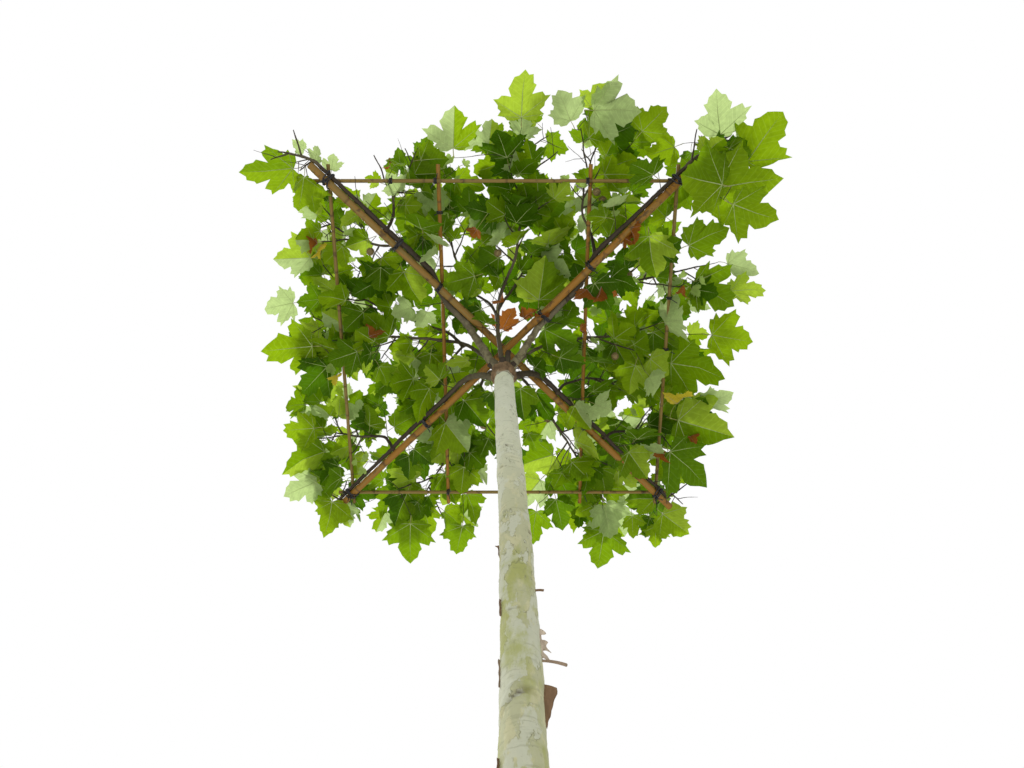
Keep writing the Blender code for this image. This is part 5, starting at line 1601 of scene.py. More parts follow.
def bulges(points, kinds):
    """Sum of the random values of each kind, given by its strength, size and seed."""
    return sum(strength * waves(points, size, seed) for strength, size, seed in kinds)


def patches(points, size, seed, level, edge):
    """From 0 to 1 where the random values pass a level, over an edge of the given width."""
    return smooth((waves(points, size, seed) - level) / edge + 0.5)


def knuckles(along, draw, first, sizes, width, steps):
    """Swelling of a limb at its buds: 1, and a bell curve of random size after each random step along it."""
    swell, place = np.ones(len(along)), first
    while place < along[-1]:
        swell += draw.uniform(*sizes) * hump(along, place, width)
        place += draw.uniform(*steps)
    return swell


# Materials


def shade(tint, factor, lift=0.0):
    """A colour made darker or lighter."""
    return tuple(min(1.0, factor * c + lift) for c in tint)


class Graph:
    """Adds and joins nodes in one node tree."""

    def __init__(self, tree):
        self.tree = tree

    def put(self, value, socket):
        """Links an output to the socket, or sets the socket's own value."""
        if isinstance(value, bpy.types.NodeSocket):
            self.tree.links.new(value, socket)
        else:
            socket.default_value = value

    def add(self, kind, *inputs, **settings):
        """A node. A setting is a socket if the node has one of that name, and else a property of the node.
        Inputs go to its sockets in order."""
        node = self.tree.nodes.new(kind)
        for name, value in settings.items():
            if name in node.inputs.keys():
                self.put(value, node.inputs[name])
            else:
                setattr(node, name, value)
        for value, socket in zip(inputs, node.inputs):
            self.put(value, socket)
        return node

    def math(self, operation, *inputs):
        return self.add("ShaderNodeMath", *inputs, operation=operation).outputs[0]

    def mix(self, share, first, second):
        """Colour between two colours."""
        node = self.add("ShaderNodeMix", data_type="RGBA")
        for value, socket in ((share, node.inputs[0]), (first, node.inputs[6]), (second, node.inputs[7])):
            plain = not isinstance(value, (float, bpy.types.NodeSocket))
            self.put((*value, 1.0) if plain else value, socket)
        return node.outputs[2]

    def over(self, tone, mask, strength, colour):
        """The colour laid over the tone where the mask is, at a strength from 0 to 1."""
        return self.mix(self.math("MULTIPLY", mask, strength), tone, colour)

    def between(self, value, low, high):
        """From 0 to 1 as the value goes from low to high, eased."""
        return self.add("ShaderNodeMapRange", value, low, high, interpolation_type="SMOOTHSTEP").outputs[0]

    def noise(self, vector, scale, detail=3.0, roughness=0.55):
        node = self.add("ShaderNodeTexNoise", Vector=vector, Scale=scale, Detail=detail, Roughness=roughness)
        return node.outputs[0]

    def mapped(self, vector, scale):
        return self.add("ShaderNodeMapping", Vector=vector, Scale=scale).outputs[0]

    def object_point(self, stretch=(1.0, 1.0, 1.0)):
        return self.mapped(self.add("ShaderNodeTexCoord").outputs["Object"], stretch)

    def uv_point(self, name):
        return self.add("ShaderNodeUVMap", uv_map=name).outputs[0]

    def attribute(self, name):
        return self.add("ShaderNodeAttribute", attribute_name=name).outputs["Fac"]

    def group(self, made, **inputs):
        node = self.add("ShaderNodeGroup")
        node.node_tree = made
        for name, value in inputs.items():
            self.put(value, node.inputs[name])
        return node.outputs[0]

    def blotches(self, vector, scale, level, edge):
        return self.group(blotch_group(), Vector=vector, Scale=scale, Level=level, Edge=edge)

    def grain(self, vector, scale):
        return self.group(grain_group(), Vector=vector, Scale=scale)


def node_group(name, inputs, output):
    """A shader node group with named sockets, its graph, and its input and output sockets."""
    made = bpy.data.node_groups.new(name, "ShaderNodeTree")
    for label, kind, value in inputs:
        socket = made.interface.new_socket(label, in_out="INPUT", socket_type=kind)
        if value is not None:
            socket.default_value = value
    made.interface.new_socket(output, in_out="OUTPUT", socket_type="NodeSocketFloat")
    graph = Graph(made)
    return made, graph, graph.add("NodeGroupInput").outputs, graph.add("NodeGroupOutput").inputs[0]


def blotch_group():
    """Group: a mask of soft-edged blotches, from noise that passes a level."""
    name = "Blotches"
    if name in bpy.data.node_groups:
        return bpy.data.node_groups[name]
    inputs = (
        ("Vector", "NodeSocketVector", None), ("Scale", "NodeSocketFloat", 10.0),
        ("Level", "NodeSocketFloat", 0.5), ("Edge", "NodeSocketFloat", 0.04),
    )
    made, graph, given, mask = node_group(name, inputs, "Mask")
    value = graph.noise(given["Vector"], given["Scale"], 4.0, 0.6)
    low, high = (graph.math(way, given["Level"], given["Edge"]) for way in ("SUBTRACT", "ADD"))
    graph.put(graph.between(value, low, high), mask)
    return made


def grain_group():
    """Group: fine relief, from two sizes of noise."""
    name = "Grain"
    if name in bpy.data.node_groups:
        return bpy.data.node_groups[name]
    inputs = (("Vector", "NodeSocketVector", None), ("Scale", "NodeSocketFloat", 100.0))
    made, graph, given, height = node_group(name, inputs, "Height")
    coarse = graph.noise(given["Vector"], given["Scale"], 2.0)
    fine = graph.noise(given["Vector"], graph.math("MULTIPLY", given["Scale"], 4.0), 2.0)
    graph.put(graph.math("MULTIPLY_ADD", fine, 0.35, coarse), height)
    return made


def material(name, roughness, specular=0.5):
    """A material with its graph."""
    made = bpy.data.materials.new(name)
    made.use_nodes = True
    shader = made.node_tree.nodes["Principled BSDF"]
    shader.inputs["Roughness"].default_value = roughness
    shader.inputs["Specular IOR Level"].default_value = specular
    return made, Graph(made.node_tree)


def coated(made, tone, height=None, strength=0.0, distance=0.0):
    """The material with a colour, and a Bump node of the height if it has one, joined to its shader."""
    graph, shader = Graph(made.node_tree), made.node_tree.nodes["Principled BSDF"]
    graph.put(tone, shader.inputs["Base Color"])
    if height is not None:
        bump = graph.add("ShaderNodeBump", Height=height, Strength=strength, Distance=distance)
        graph.put(bump.outputs[0], shader.inputs["Normal"])
    return made


def stem_bark(look):
    """Plated bark: fresh bark, paler thin plates with broken dark rims, soft algae, fine cracks darkened as
    painted shade, and a rough brown head. The places of algae, creases and the head come with the mesh, and
    plates from noise that passes a level, with their rim where it is close to it. The creases and the lines
    under the knots' lips are darkened as painted shade."""
    made, graph = material("stem_bark", 0.8, 0.15)
    point = graph.object_point(BARK_STRETCH)
    field = graph.noise(point, 15.0, 5.0, 0.62)
    plates = graph.between(field, 0.49, 0.52)
    away = graph.math("ABSOLUTE", graph.math("SUBTRACT", field, 0.497))
    rim = graph.math("SUBTRACT", 1.0, graph.between(away, 0.002, 0.009))
    rim = graph.math("MULTIPLY", rim, graph.blotches(point, 24.0, 0.50, 0.06))
    cream = tuple(min(1.0, c * f) for c, f in zip(look.fresh, (1.22, 1.16, 1.12)))
    tone = graph.over(look.fresh, graph.blotches(point, 38.0, 0.54, 0.03), 0.7, cream)
    tone = graph.over(tone, plates, 0.8, look.plate)
    tall = graph.add("ShaderNodeSeparateXYZ", graph.object_point()).outputs["Z"]
    tone = graph.over(tone, graph.between(tall, 1.5, 2.1), 0.80, shade(look.plate, 1.18))
    patchy = graph.math("MULTIPLY_ADD", plates, -0.22, graph.attribute("algae"))
    growth = graph.math("MULTIPLY_ADD", graph.noise(point, 130.0, 5.0, 0.7), 0.9, patchy)
    tone = graph.over(tone, graph.between(growth, 0.62, 1.25), 0.85, look.algae)
    # Cracks are sunk by the bump and darkened as painted shade; the fine dark spots after them are grime
    cracks = graph.blotches(graph.object_point((0.5, 0.5, 3.0)), 42.0, 0.62, 0.05)
    crack_shade_and_grime = shade(look.fresh, 0.55)
    tone = graph.over(tone, cracks, 0.30, crack_shade_and_grime)
    tone = graph.over(tone, graph.blotches(point, 170.0, 0.64, 0.04), 0.35, crack_shade_and_grime)
    tone = graph.over(tone, rim, 0.55, shade(look.fresh, 0.30))
    # Painted shade in the crease at the head's edge and in the folds under the knots' lips
    tone = graph.over(tone, graph.attribute("crease"), 0.85, shade(look.head, 0.6))
    brown = graph.mix(graph.blotches(point, 60.0, 0.5, 0.1), look.head, shade(look.head, 1.9))
    tone = graph.mix(graph.attribute("head"), tone, brown)
    height = graph.math("MULTIPLY_ADD", graph.grain(point, 120.0), 0.5, plates)
    return coated(made, tone, graph.math("MULTIPLY_ADD", cracks, -0.5, height), 0.55, 0.0007)


def bough_bark(look):
    """Bark of the boughs: grey-green near the stem, browner towards the tips, with small pale pores."""
    made, graph = material("bough_bark", 0.72, 0.3)
    point, age = graph.object_point(), graph.attribute("age")
    tone = graph.mix(graph.between(age, 0.05, 1.0), look.young, look.grown)
    strength = graph.math("MULTIPLY", age, 0.7)
    tone = graph.over(tone, graph.blotches(point, 55.0, 0.5, 0.1), strength, look.young)
    tone = graph.over(tone, graph.blotches(point, 240.0, 0.66, 0.03), 0.25, shade(look.grown, 0.6))
    return coated(made, tone, graph.grain(point, 300.0), 0.6, 0.0006)


def loose_bark(look):
    """Dry plates: brown, paler where their inner side shows, with streaks along them."""
    made, graph = material("loose_bark", 0.85, 0.15)
    point = graph.object_point((1.0, 1.0, 0.4))
    tone = graph.mix(graph.attribute("pale"), look.flake, look.pale_flake)
    tone = graph.over(tone, graph.blotches(point, 110.0, 0.5, 0.12), 0.35, shade(look.flake, 0.55))
    return coated(made, tone, graph.grain(point, 220.0), 0.5, 0.0005)


def bamboo(look):
    """Bamboo: orange-brown with greyed streaks along it, dark stains, dark lines at the joints, and painted
    shade inside the hollow ends, which comes with the joints' mask. The streaks follow the cane by its UV
    map, in metres round and along."""
    made, graph = material("bamboo", 0.5, 0.22)
    drawn = graph.mapped(graph.uv_point("cane"), (60.0, 2.5, 1.0))
    streaks = graph.math("MULTIPLY", graph.blotches(drawn, 2.2, 0.52, 0.14), 0.6)
    worn = graph.math("MULTIPLY_ADD", graph.attribute("worn"), 0.7, streaks)
    tone = graph.mix(graph.between(worn, 0.0, 1.0), look.bamboo, look.weathered)
    tone = graph.over(tone, graph.blotches(graph.object_point(), 30.0, 0.61, 0.05), 0.7, look.stain)
    # The joint mask holds the dark joint lines and the painted shade inside the hollow ends
    tone = graph.over(tone, graph.attribute("joint"), 0.8, look.stain)
    return coated(made, tone, graph.grain(drawn, 6.0), 0.35, 0.0004)


def rubber(look):
    """Black rubber with a little dust."""
    made, graph = material("rubber", 0.5, 0.4)
    point = graph.object_point()
    dust = graph.blotches(point, 120.0, 0.58, 0.08)
    tone = graph.over(look.rubber, dust, 0.6, shade(look.rubber, 3.0, 0.01))
    return coated(made, tone, graph.grain(point, 400.0), 0.3, 0.0003)


def leaf(name, tint, glow, roughness=0.42):
    """A leaf that lets light through: side veins a little paler, faint mottling and soft relief between
    the veins. The veins follow each leaf by its UV map: distance along and away from the main vein."""
    made, graph = material(name, roughness, 0.07)
    split = graph.add("ShaderNodeSeparateXYZ", graph.uv_point("leaf")).outputs
    slanted = graph.math("MULTIPLY_ADD", split["Y"], -0.8, split["X"])
    wave = graph.math("PINGPONG", graph.math("MULTIPLY", slanted, 9.0), 0.5)
    line = graph.math("SUBTRACT", 1.0, graph.between(wave, 0.0, 0.12))
    mottle = graph.noise(graph.object_point(), 60.0)
    darker, lighter, pale = shade(tint, 0.74), shade(tint, 1.26), shade(tint, 1.5, 0.03)
    coated(made, graph.over(graph.mix(mottle, darker, lighter), line, 0.40, pale), line, 0.35, 0.0008)
    through = graph.mix(mottle, shade(darker, 1.6), shade(lighter, 1.8))
    through = graph.over(through, line, 0.30, shade(pale, 1.5))
    lit = graph.add("ShaderNodeBsdfTranslucent", through).outputs[0]
    plain = made.node_tree.nodes["Principled BSDF"].outputs[0]
    both = graph.add("ShaderNodeMixShader", glow, plain, lit).outputs[0]
    graph.put(both, made.node_tree.nodes["Material Output"].inputs["Surface"])
    return made


def plain_growth(name, tint, scale, contrast):
    """Small green or brown parts: one tint with fine lighter and darker spots."""
    made, graph = material(name, 0.6, 0.3)
    point = graph.object_point()
    spots = graph.blotches(point, scale, 0.5, 0.1)
    tone = graph.mix(spots, shade(tint, 1 - contrast), shade(tint, 1 + contrast))
    return coated(made, tone, graph.grain(point, scale), 0.3, 0.0003)


# Operators


class ROOFTREE_OT_stem(bpy.types.Operator):
    """Make the stem's bark with plates, knots, root flare and pruned head"""

    bl_idname = "rooftree.stem"
    bl_label = "Stem"

    def execute(self, context):
        look = context.scene.rooftree_bark
        heights = np.concatenate([np.linspace(*steps) for steps in BARK_RINGS])
        tall = heights[:, None]
        turn, plan = circle(BARK_SIDES)
        facing = np.column_stack((plan, np.zeros(BARK_SIDES)))
        axis = np.array([stem_axis(z) for z in heights])
        radius = np.array([stem_radius(z) for z in heights])
        swell = HEAD_SWELL * hump(heights, HEAD_Z, HEAD_SPREAD)
        radius -= swell * (1 - HEAD_KEPT * smooth((heights - HEAD_LOW) / HEAD_RISE))
        radius *= 1 - TOP_ROUNDING * smooth((heights - STEM_HEIGHT + TOP_EDGE) / TOP_EDGE)
        place = axis[:, None] + radius[:, None, None] * facing
        flat = place * BARK_STRETCH

        lift = sum(rise * waves(place * (1, 1, long), size, seed) for rise, long, size, seed in STEM_BULGES)
        lift += look.plate_height * sum(patches(flat, *plates) for plates in STEM_PLATES)
        ribs = sum(strength * np.cos(number * turn + start) for strength, number, start in RIB_WAVES)
        lift += FLARE_RIBS * np.exp(-tall / FLARE_RIB_HEIGHT) * ribs
        past = tall - HEAD_LOW - bulges(place, HEAD_WAVES)
        head = smooth(past / HEAD_EDGE)
        lift += head * bulges(place, HEAD_BULGES)
        # Crease at the head's edge: a shallow groove, and a mask of painted shade for the bark's colour
        crease = CREASE_SHADE * hump(past, 0.0, HEAD_CREASE)
        lift -= CREASE_DEPTH * crease
        for height, degrees, size, depth, tilt in KNOTS:
            across = (np.mod(turn - math.radians(degrees) + math.pi, 2 * math.pi) - math.pi) * radius[:, None]
            up = tall - height - tilt * across + KNOT_BOW * across**2 / size
            near = hump(across, 0.0, KNOT_WIDTH * size)
            under, thin, deep = KNOT_FOLD
            lip, fold = hump(up, 0.0, KNOT_LIP * size), hump(up, under * size, thin * size)
            lift += depth * near * (lip - deep * fold)
            # Dark line of painted shade in the fold under the knot's lip, added to the crease mask
            under, thin, sharp = KNOT_SHADE_LINE
            crease = np.maximum(crease, near**sharp * hump(up, under * size, thin * size))

        side = 0.5 + 0.5 * np.cos(turn + math.radians(ALGAE_SIDE))
        belt = sum(strength * hump(heights, height, reach) for strength, height, reach in ALGAE_BELTS)
        growth = bulges(flat, ALGAE_WAVES) + BELT_STRENGTH * side * belt[:, None]
        fading, start, over = ALGAE_FADING
        spots = SPOT_STRENGTH * patches(flat, *ALGAE_SPOTS)
        growth += spots + LEAST_ALGAE - fading * smooth((tall - start) / over)
        algae = np.clip(growth, 0, 1) * (1 - head)

        place = axis[:, None] + (radius[:, None] + lift)[:, :, None] * facing
        place[0, :, 2] = 0.0
        ends = np.array((axis[0] * (1, 1, 0), axis[-1] - TOP_DISH * UP))
        values = {"algae": algae, "crease": np.clip(crease, 0, 1), "head": head}
        surface = Surface()
        add_closed(surface, place[:, ::-1], ends, **{name: value[:, ::-1] for name, value in values.items()})
        surface.piece("stem_bark", [stem_bark(look)], "trunk_bark", "trunk")
        return {"FINISHED"}


def stem_point(height, degrees, out=0.0):
    """Point on the stem's surface, or out from it."""
    return stem_axis(height) + (stem_radius(height) + out) * bearing(degrees)


def add_sheet(surface, sheet, thickness, **values):
    """A grid of points given a thickness: the grid, its copy moved along the grid's normals, and a rim."""
    rows, columns = sheet.shape[:2]
    count = rows * columns
    normal = np.cross(np.gradient(sheet, axis=0), np.gradient(sheet, axis=1))
    normal /= np.linalg.norm(normal, axis=2)[:, :, None] + 1e-12
    points = [(sheet + side * normal * thickness / 2).reshape(-1, 3) for side in (1, -1)]
    upper = grid_faces(rows, columns, closed=False)
    index = np.arange(count).reshape(rows, columns)
    rim = np.concatenate((index[0], index[1:, -1], index[-1, -2::-1], index[-2:0:-1, 0]))
    after = np.roll(rim, -1)
    edge = np.stack((rim, rim + count, after + count, after), 1)
    surface.add(np.concatenate(points), np.concatenate((upper, upper[:, ::-1] + count, edge)), **values)


class ROOFTREE_OT_loose_bark(bpy.types.Operator):
    """Make the plates of bark that peel off the stem, and the stubs on its head"""

    bl_idname = "rooftree.loose_bark"
    bl_label = "Loose bark and stubs"

    def execute(self, context):
        look = context.scene.rooftree_bark
        surface = Surface()
        up, along = (np.linspace(0, 1, count) for count in FLAKE_GRID)
        step = np.diff(along, prepend=0.0)
        for number, (low, high, degrees, out_low, out_high, drop, curl, ragged, pale) in enumerate(FLAKES):
            heights = up[:, None] * (high - low)
            spots = joined(heights, along * 0.01, number * 0.5)
            uneven = 1 + ragged * waves(spots, FLAKE_WAVE, FLAKE_SEED + number)
            reach = (out_low + (out_high - out_low) * up[:, None]) * uneven + FLAKE_ROOTED
            bend = curl * along**CURL_POWER
            start = np.array([stem_point(low + height, degrees, -FLAKE_ROOTED) for height in heights[:, 0]])
            outward, sideways = (np.cumsum(part * step) * reach for part in (np.cos(bend), np.sin(bend)))
            sheet = start[:, None] + outward[:, :, None] * bearing(degrees)
            sheet += sideways[:, :, None] * bearing(degrees + 90)
            sheet[:, :, 2] -= drop * along**DROP_POWER * uneven
            add_sheet(surface, sheet, FLAKE_THICKNESS, pale=pale)
        surface.piece("loose_bark", [loose_bark(look)], "trunk_bark")

        stubs = Surface()
        rows, sides = STUB_GRID
        strength, size, seed = STUB_UNEVEN
        share = np.linspace(0, 1, rows)[:, None]
        around = circle(sides)[1] * 0.01
        for number, (degrees, rise, reach, thick) in enumerate(STUBS):
            foot = stem_axis(STUB_Z) + STUB_START * bearing(degrees)
            path = foot + share * (STUB_ROOTED + reach) * unit(bearing(degrees) + rise * UP)
            spots = joined(path[:, 2:], around[:, 0], around[:, 1])
            uneven = 1 + strength * waves(spots, size, seed + number)
            radii = np.linspace(*STUB_TAPER, rows)[:, None] * thick * uneven
            add_skin(stubs, path, radii, sides, age=np.linspace(STUB_AGE, 0.0, rows))
        stubs.piece("pruned_stubs", [bough_bark(look)], "bough_bark")
        return {"FINISHED"}


class ROOFTREE_OT_boughs(bpy.types.Operator):
    """Make the bark of the boughs, with knuckles and collars"""

    bl_idname = "rooftree.boughs"
    bl_label = "Boughs"

    def execute(self, context):
        finish = bough_bark(context.scene.rooftree_bark)
        for number, (name, limb) in enumerate(Tree.get().boughs.items()):
            points, radii, along = limb.curve(FINE_STEP)
            inner = points[:1] + ROOTED * unit(points[0] - points[1])
            points, radii = np.concatenate((inner, points)), np.concatenate((radii[:1], radii))
            along = np.concatenate(([0.0], along + ROOTED))
            whole = along[-1]
            swell = knuckles(along, random.Random(name + "/bark"), *BOUGH_KNUCKLES)
            swell += (STEM_COLLAR if name in STEM_BOUGHS else SIDE_COLLAR) * np.exp(-along / COLLAR_LENGTH)
            if name in FORKED_BOUGHS:
                swell += FORK_SWELL * np.exp(-along / FORK_LENGTH)
            sides = STEM_BOUGH_SIDES if name in STEM_BOUGHS else SIDE_BOUGH_SIDES
            around = circle(sides)[1] * 0.012
            spots = joined(along[:, None], around[:, 0], around[:, 1])
            rough = 1
            for strength, size, seed in BOUGH_ROUGHNESS:
                rough = rough + strength * waves(spots, size, seed + number)
            seed = DRIFT_SEED + number
            drift = DRIFT * np.stack([waves(points, DRIFT_LENGTH, seed + k) for k in range(3)], 1)
            drift *= (smooth(along / DRIFT_ENDS) * smooth((whole - along) / DRIFT_ENDS))[:, None]
            away = np.hypot(points[:, 0] - CROWN_X, points[:, 1])
            age = GROWN_BOUGHS.get(name, OTHER_GROWN) * hump(away, 0.0, GROWN_REACH) + LEAST_GROWN
            surface = Surface()
            add_skin(surface, points + drift, (radii * swell)[:, None] * rough, sides, age=age)
            surface.piece(name.replace("bough", "bark"), [finish], "bough_bark", name)
        return {"FINISHED"}


class ROOFTREE_OT_canes(bpy.types.Operator):
    """Make the bamboo canes with joints and hollow ends"""

    bl_idname = "rooftree.canes"
    bl_label = "Canes"

    def execute(self, context):
        look = context.scene.rooftree_canes
        finish = bamboo(look)
        depths, shares, hollow_shade = CANE_END.T
        added, sides = len(CANE_END), BAMBOO_SIDES
        around = np.abs((np.arange(sides) + 0.5) * 2 * math.pi / sides - math.pi)
        for name, limb in Tree.get().canes.items():
            points, radii, along = limb.curve(FINE_STEP)
            radius = radii[0]
            draw = random.Random(name + "/joints")
            spacing = THICK_JOINTS if radius > INNER_CANE_RADIUS else THIN_JOINTS
            rim, line, lean = np.zeros(len(along)), np.zeros(len(along)), draw.uniform(*CANE_TAPER)
            place = draw.uniform(FIRST_JOINT, spacing)
            deep, *neck = JOINT_NECK
            while place < along[-1]:
                rim += hump(along, place, JOINT_RIM) - deep * hump(along - place, *neck)
                line += hump(along - place, *JOINT_LINE)
                place += spacing * draw.uniform(*JOINT_STEPS)
            body = radius * (1 - lean * along / along[-1]) + look.joint_height * rim
            first = points[0] + depths[::-1, None] * unit(points[1] - points[0])
            last = points[-1] - depths[:, None] * unit(points[-1] - points[-2])
            path = np.concatenate((first, points, last))
            widths = np.concatenate((radius * shares[::-1], body, radius * shares))
            ahead = np.pad(np.gradient(points, axis=0), ((added, added), (0, 0)), mode="edge")
            uv = joined(around * radius, np.pad(along, added, mode="edge")[:, None] + draw.uniform(0, 9))
            # Painted shade inside the hollow ends, and the dark joint lines between them
            dark = np.concatenate((hollow_shade[::-1], np.clip(line, 0, 1), hollow_shade))
            worn = np.full((len(path), 1), float(radius < INNER_CANE_RADIUS))
            if name == "cane_diagonal_upper":
                worn += WORN_HALF * smooth((CROWN_X - path[:, :1]) / 0.1)
            surface = Surface()
            skin = rings(path, widths, sides, ahead=ahead)
            add_closed(surface, skin, path[[0, -1]], cane=uv, joint=dark[:, None], worn=worn)
            surface.piece(name.replace("cane", "bamboo"), [finish], "cane", name)
        return {"FINISHED"}


def hull_loop(rounds, extra, count=40):
    """Closed line round circles: at each direction, the point that is furthest out on any circle."""
    facing = circle(count)[1]
    reach = np.array([facing @ (x, z) + radius for x, z, radius in rounds])
    best = np.array(rounds)[reach.argmax(0)]
    return best[:, :2] + facing * (best[:, 2:] + extra)


class ROOFTREE_OT_ties(bpy.types.Operator):
    """Make the black ties: cord wound round each crossing, a knot and loose ends"""

    bl_idname = "rooftree.ties"
    bl_label = "Ties"

    def execute(self, context):
        finish = rubber(context.scene.rooftree_canes)
        for name, (middle, degrees, rounds) in Tree.get().ties.items():
            draw = random.Random(name + "/wound")
            corner = "corner" in name
            turns, thick, layers, slant, half, crossed, ends = CORNER_WINDING if corner else CANE_WINDING
            loop = hull_loop(rounds, thick + CORD_GAP)
            across, away = bearing(degrees + 90), bearing(degrees)
            count = len(loop)
            step = np.arange(turns * count + 1)
            layer = np.abs(((step / (turns * count) * layers) % 1.0) * 2 - 1)
            phase = draw.uniform(0, 6) if corner else 0.0
            aside = half * (layer * 2 - 1) + slant * np.sin(step * 2 * math.pi / count + phase)
            swell = 1 + crossed * np.abs(np.sin(step * 0.37 + draw.uniform(0, 6)))
            centre = loop.mean(0)
            wound = centre + (loop[step % count] - centre) * swell[:, None]
            path = middle + wound[:, :1] * across + wound[:, 1:] * UP + aside[:, None] * away
            surface = Surface()
            add_skin(surface, path, thick, CORD_SIDES, reference=away)
            knot = path[np.argmin(path[:count, 2])] - TIE_KNOT_DROP * UP
            turn = np.linspace(0, TIE_KNOT_TURNS * 2 * math.pi, TIE_KNOT_POINTS)
            lump = knot + TIE_KNOT_RADIUS * (np.cos(turn)[:, None] * away + np.sin(turn)[:, None] * across)
            lump[:, 2] -= TIE_KNOT_RISE * np.sin(1.5 * turn)
            add_skin(surface, lump, thick * TIE_KNOT_THICKNESS, CORD_SIDES, reference=UP + 0.3 * away)
            for hand in (-1, 1):
                reach = draw.uniform(*TIE_END) * ends
                way = hand * across * draw.uniform(*TIE_END_ACROSS) + away * draw.uniform(*TIE_END_ALONG)
                way = unit(way - UP * draw.uniform(*TIE_END_DOWN))
                cord, sway = thick * TIE_END_THICKNESS, TIE_END_SWAY * across
                add_tail(surface, knot, way, TIE_END_STEPS, reach, TIE_END_DROP, cord, CORD_SIDES, sway)
            surface.piece(name.replace("tie", "lashing"), [finish], "tie", name)

        bands = Surface()
        for name, place in CANE_BANDS:
            draw = random.Random(f"{name}/{place}")
            limb = Tree.get().canes[name]
            runs = np.array((1.0, 0.0, 0.0) if name in ("cane_front", "cane_back") else (0.0, 1.0, 0.0))
            across = np.array((-runs[1], runs[0], 0.0))
            middle = np.array([np.interp(place, limb.points @ runs, limb.points[:, k]) for k in range(3)])
            turn = np.linspace(0, BAND_TURNS * 2 * math.pi, BAND_POINTS)[:, None]
            wide = (limb.radii[0] + BAND_OFF) * (1 + BAND_UNEVEN * np.sin(0.9 * turn))
            path = middle + wide * (np.cos(turn) * across + np.sin(turn) * UP)
            path = path + BAND_HALF * np.sin(0.45 * turn) * runs
            add_skin(bands, path, BAND_CORD, CORD_SIDES, reference=runs)
            foot = middle - (limb.radii[0] + BAND_OFF) * UP
            for hand in (-1, 1):
                way = hand * across + draw.uniform(*BAND_END_ALONG) * runs
                way = unit(way - draw.uniform(*BAND_END_DOWN) * UP)
                add_tail(bands, foot, way, 7, draw.uniform(*BAND_END), BAND_END_DROP, BAND_END_CORD, 6)
        bands.piece("cane_bands", [finish], "tie")
        return {"FINISHED"}


def wavy(limb, spacing, sway, seed):
    """A limb's line with slight zigzags between its ends, which stay where they are."""
    points, radii, along = limb.curve(spacing)
    envelope = np.sin(np.clip(along / along[-1], 0, 1) * math.pi)
    line = np.column_stack((along, along * 0, along * 0))
    offsets = np.stack([waves(line, 0.07, seed + k, 6) for k in range(3)], 1)
    return points + sway * envelope[:, None] * offsets, radii, along


class ROOFTREE_OT_twigs(bpy.types.Operator):
    """Make the twigs: knuckled, slightly zigzag, and carried to fine ends"""

    bl_idname = "rooftree.twigs"
    bl_label = "Twigs"

    def execute(self, context):
        surface = Surface()
        seed = 1000
        for mass in Tree.get().masses:
            for label, limb in mass.limbs.items():
                seed += 7
                fine = label.count("_") > 1
                points, radii, along = wavy(limb, FINER_STEP if fine else TWIG_STEP, TWIG_SWAY, seed)
                foot, tip = TWIG_RADII
                width = FINER_SHARE * radii if fine else np.linspace(min(radii[0], foot), tip, len(radii))
                if label == "stem":
                    width = np.linspace(radii[0], STEM_END, len(radii))
                draw = random.Random(f"{mass.name}/{label}/knuckles")
                width = width * knuckles(along, draw, *TWIG_KNUCKLES)
                if label == "stem":
                    points = np.concatenate((points[:1] - 0.004 * unit(points[1] - points[0]), points))
                    width = np.concatenate((width[:1], width))
                add_skin(surface, points, width, 4 if fine else 6, age=np.clip(width / 0.012, 0, 0.35))
        surface.piece("twigs", [bough_bark(context.scene.rooftree_bark)], "foliage", *MASSES)
        return {"FINISHED"}


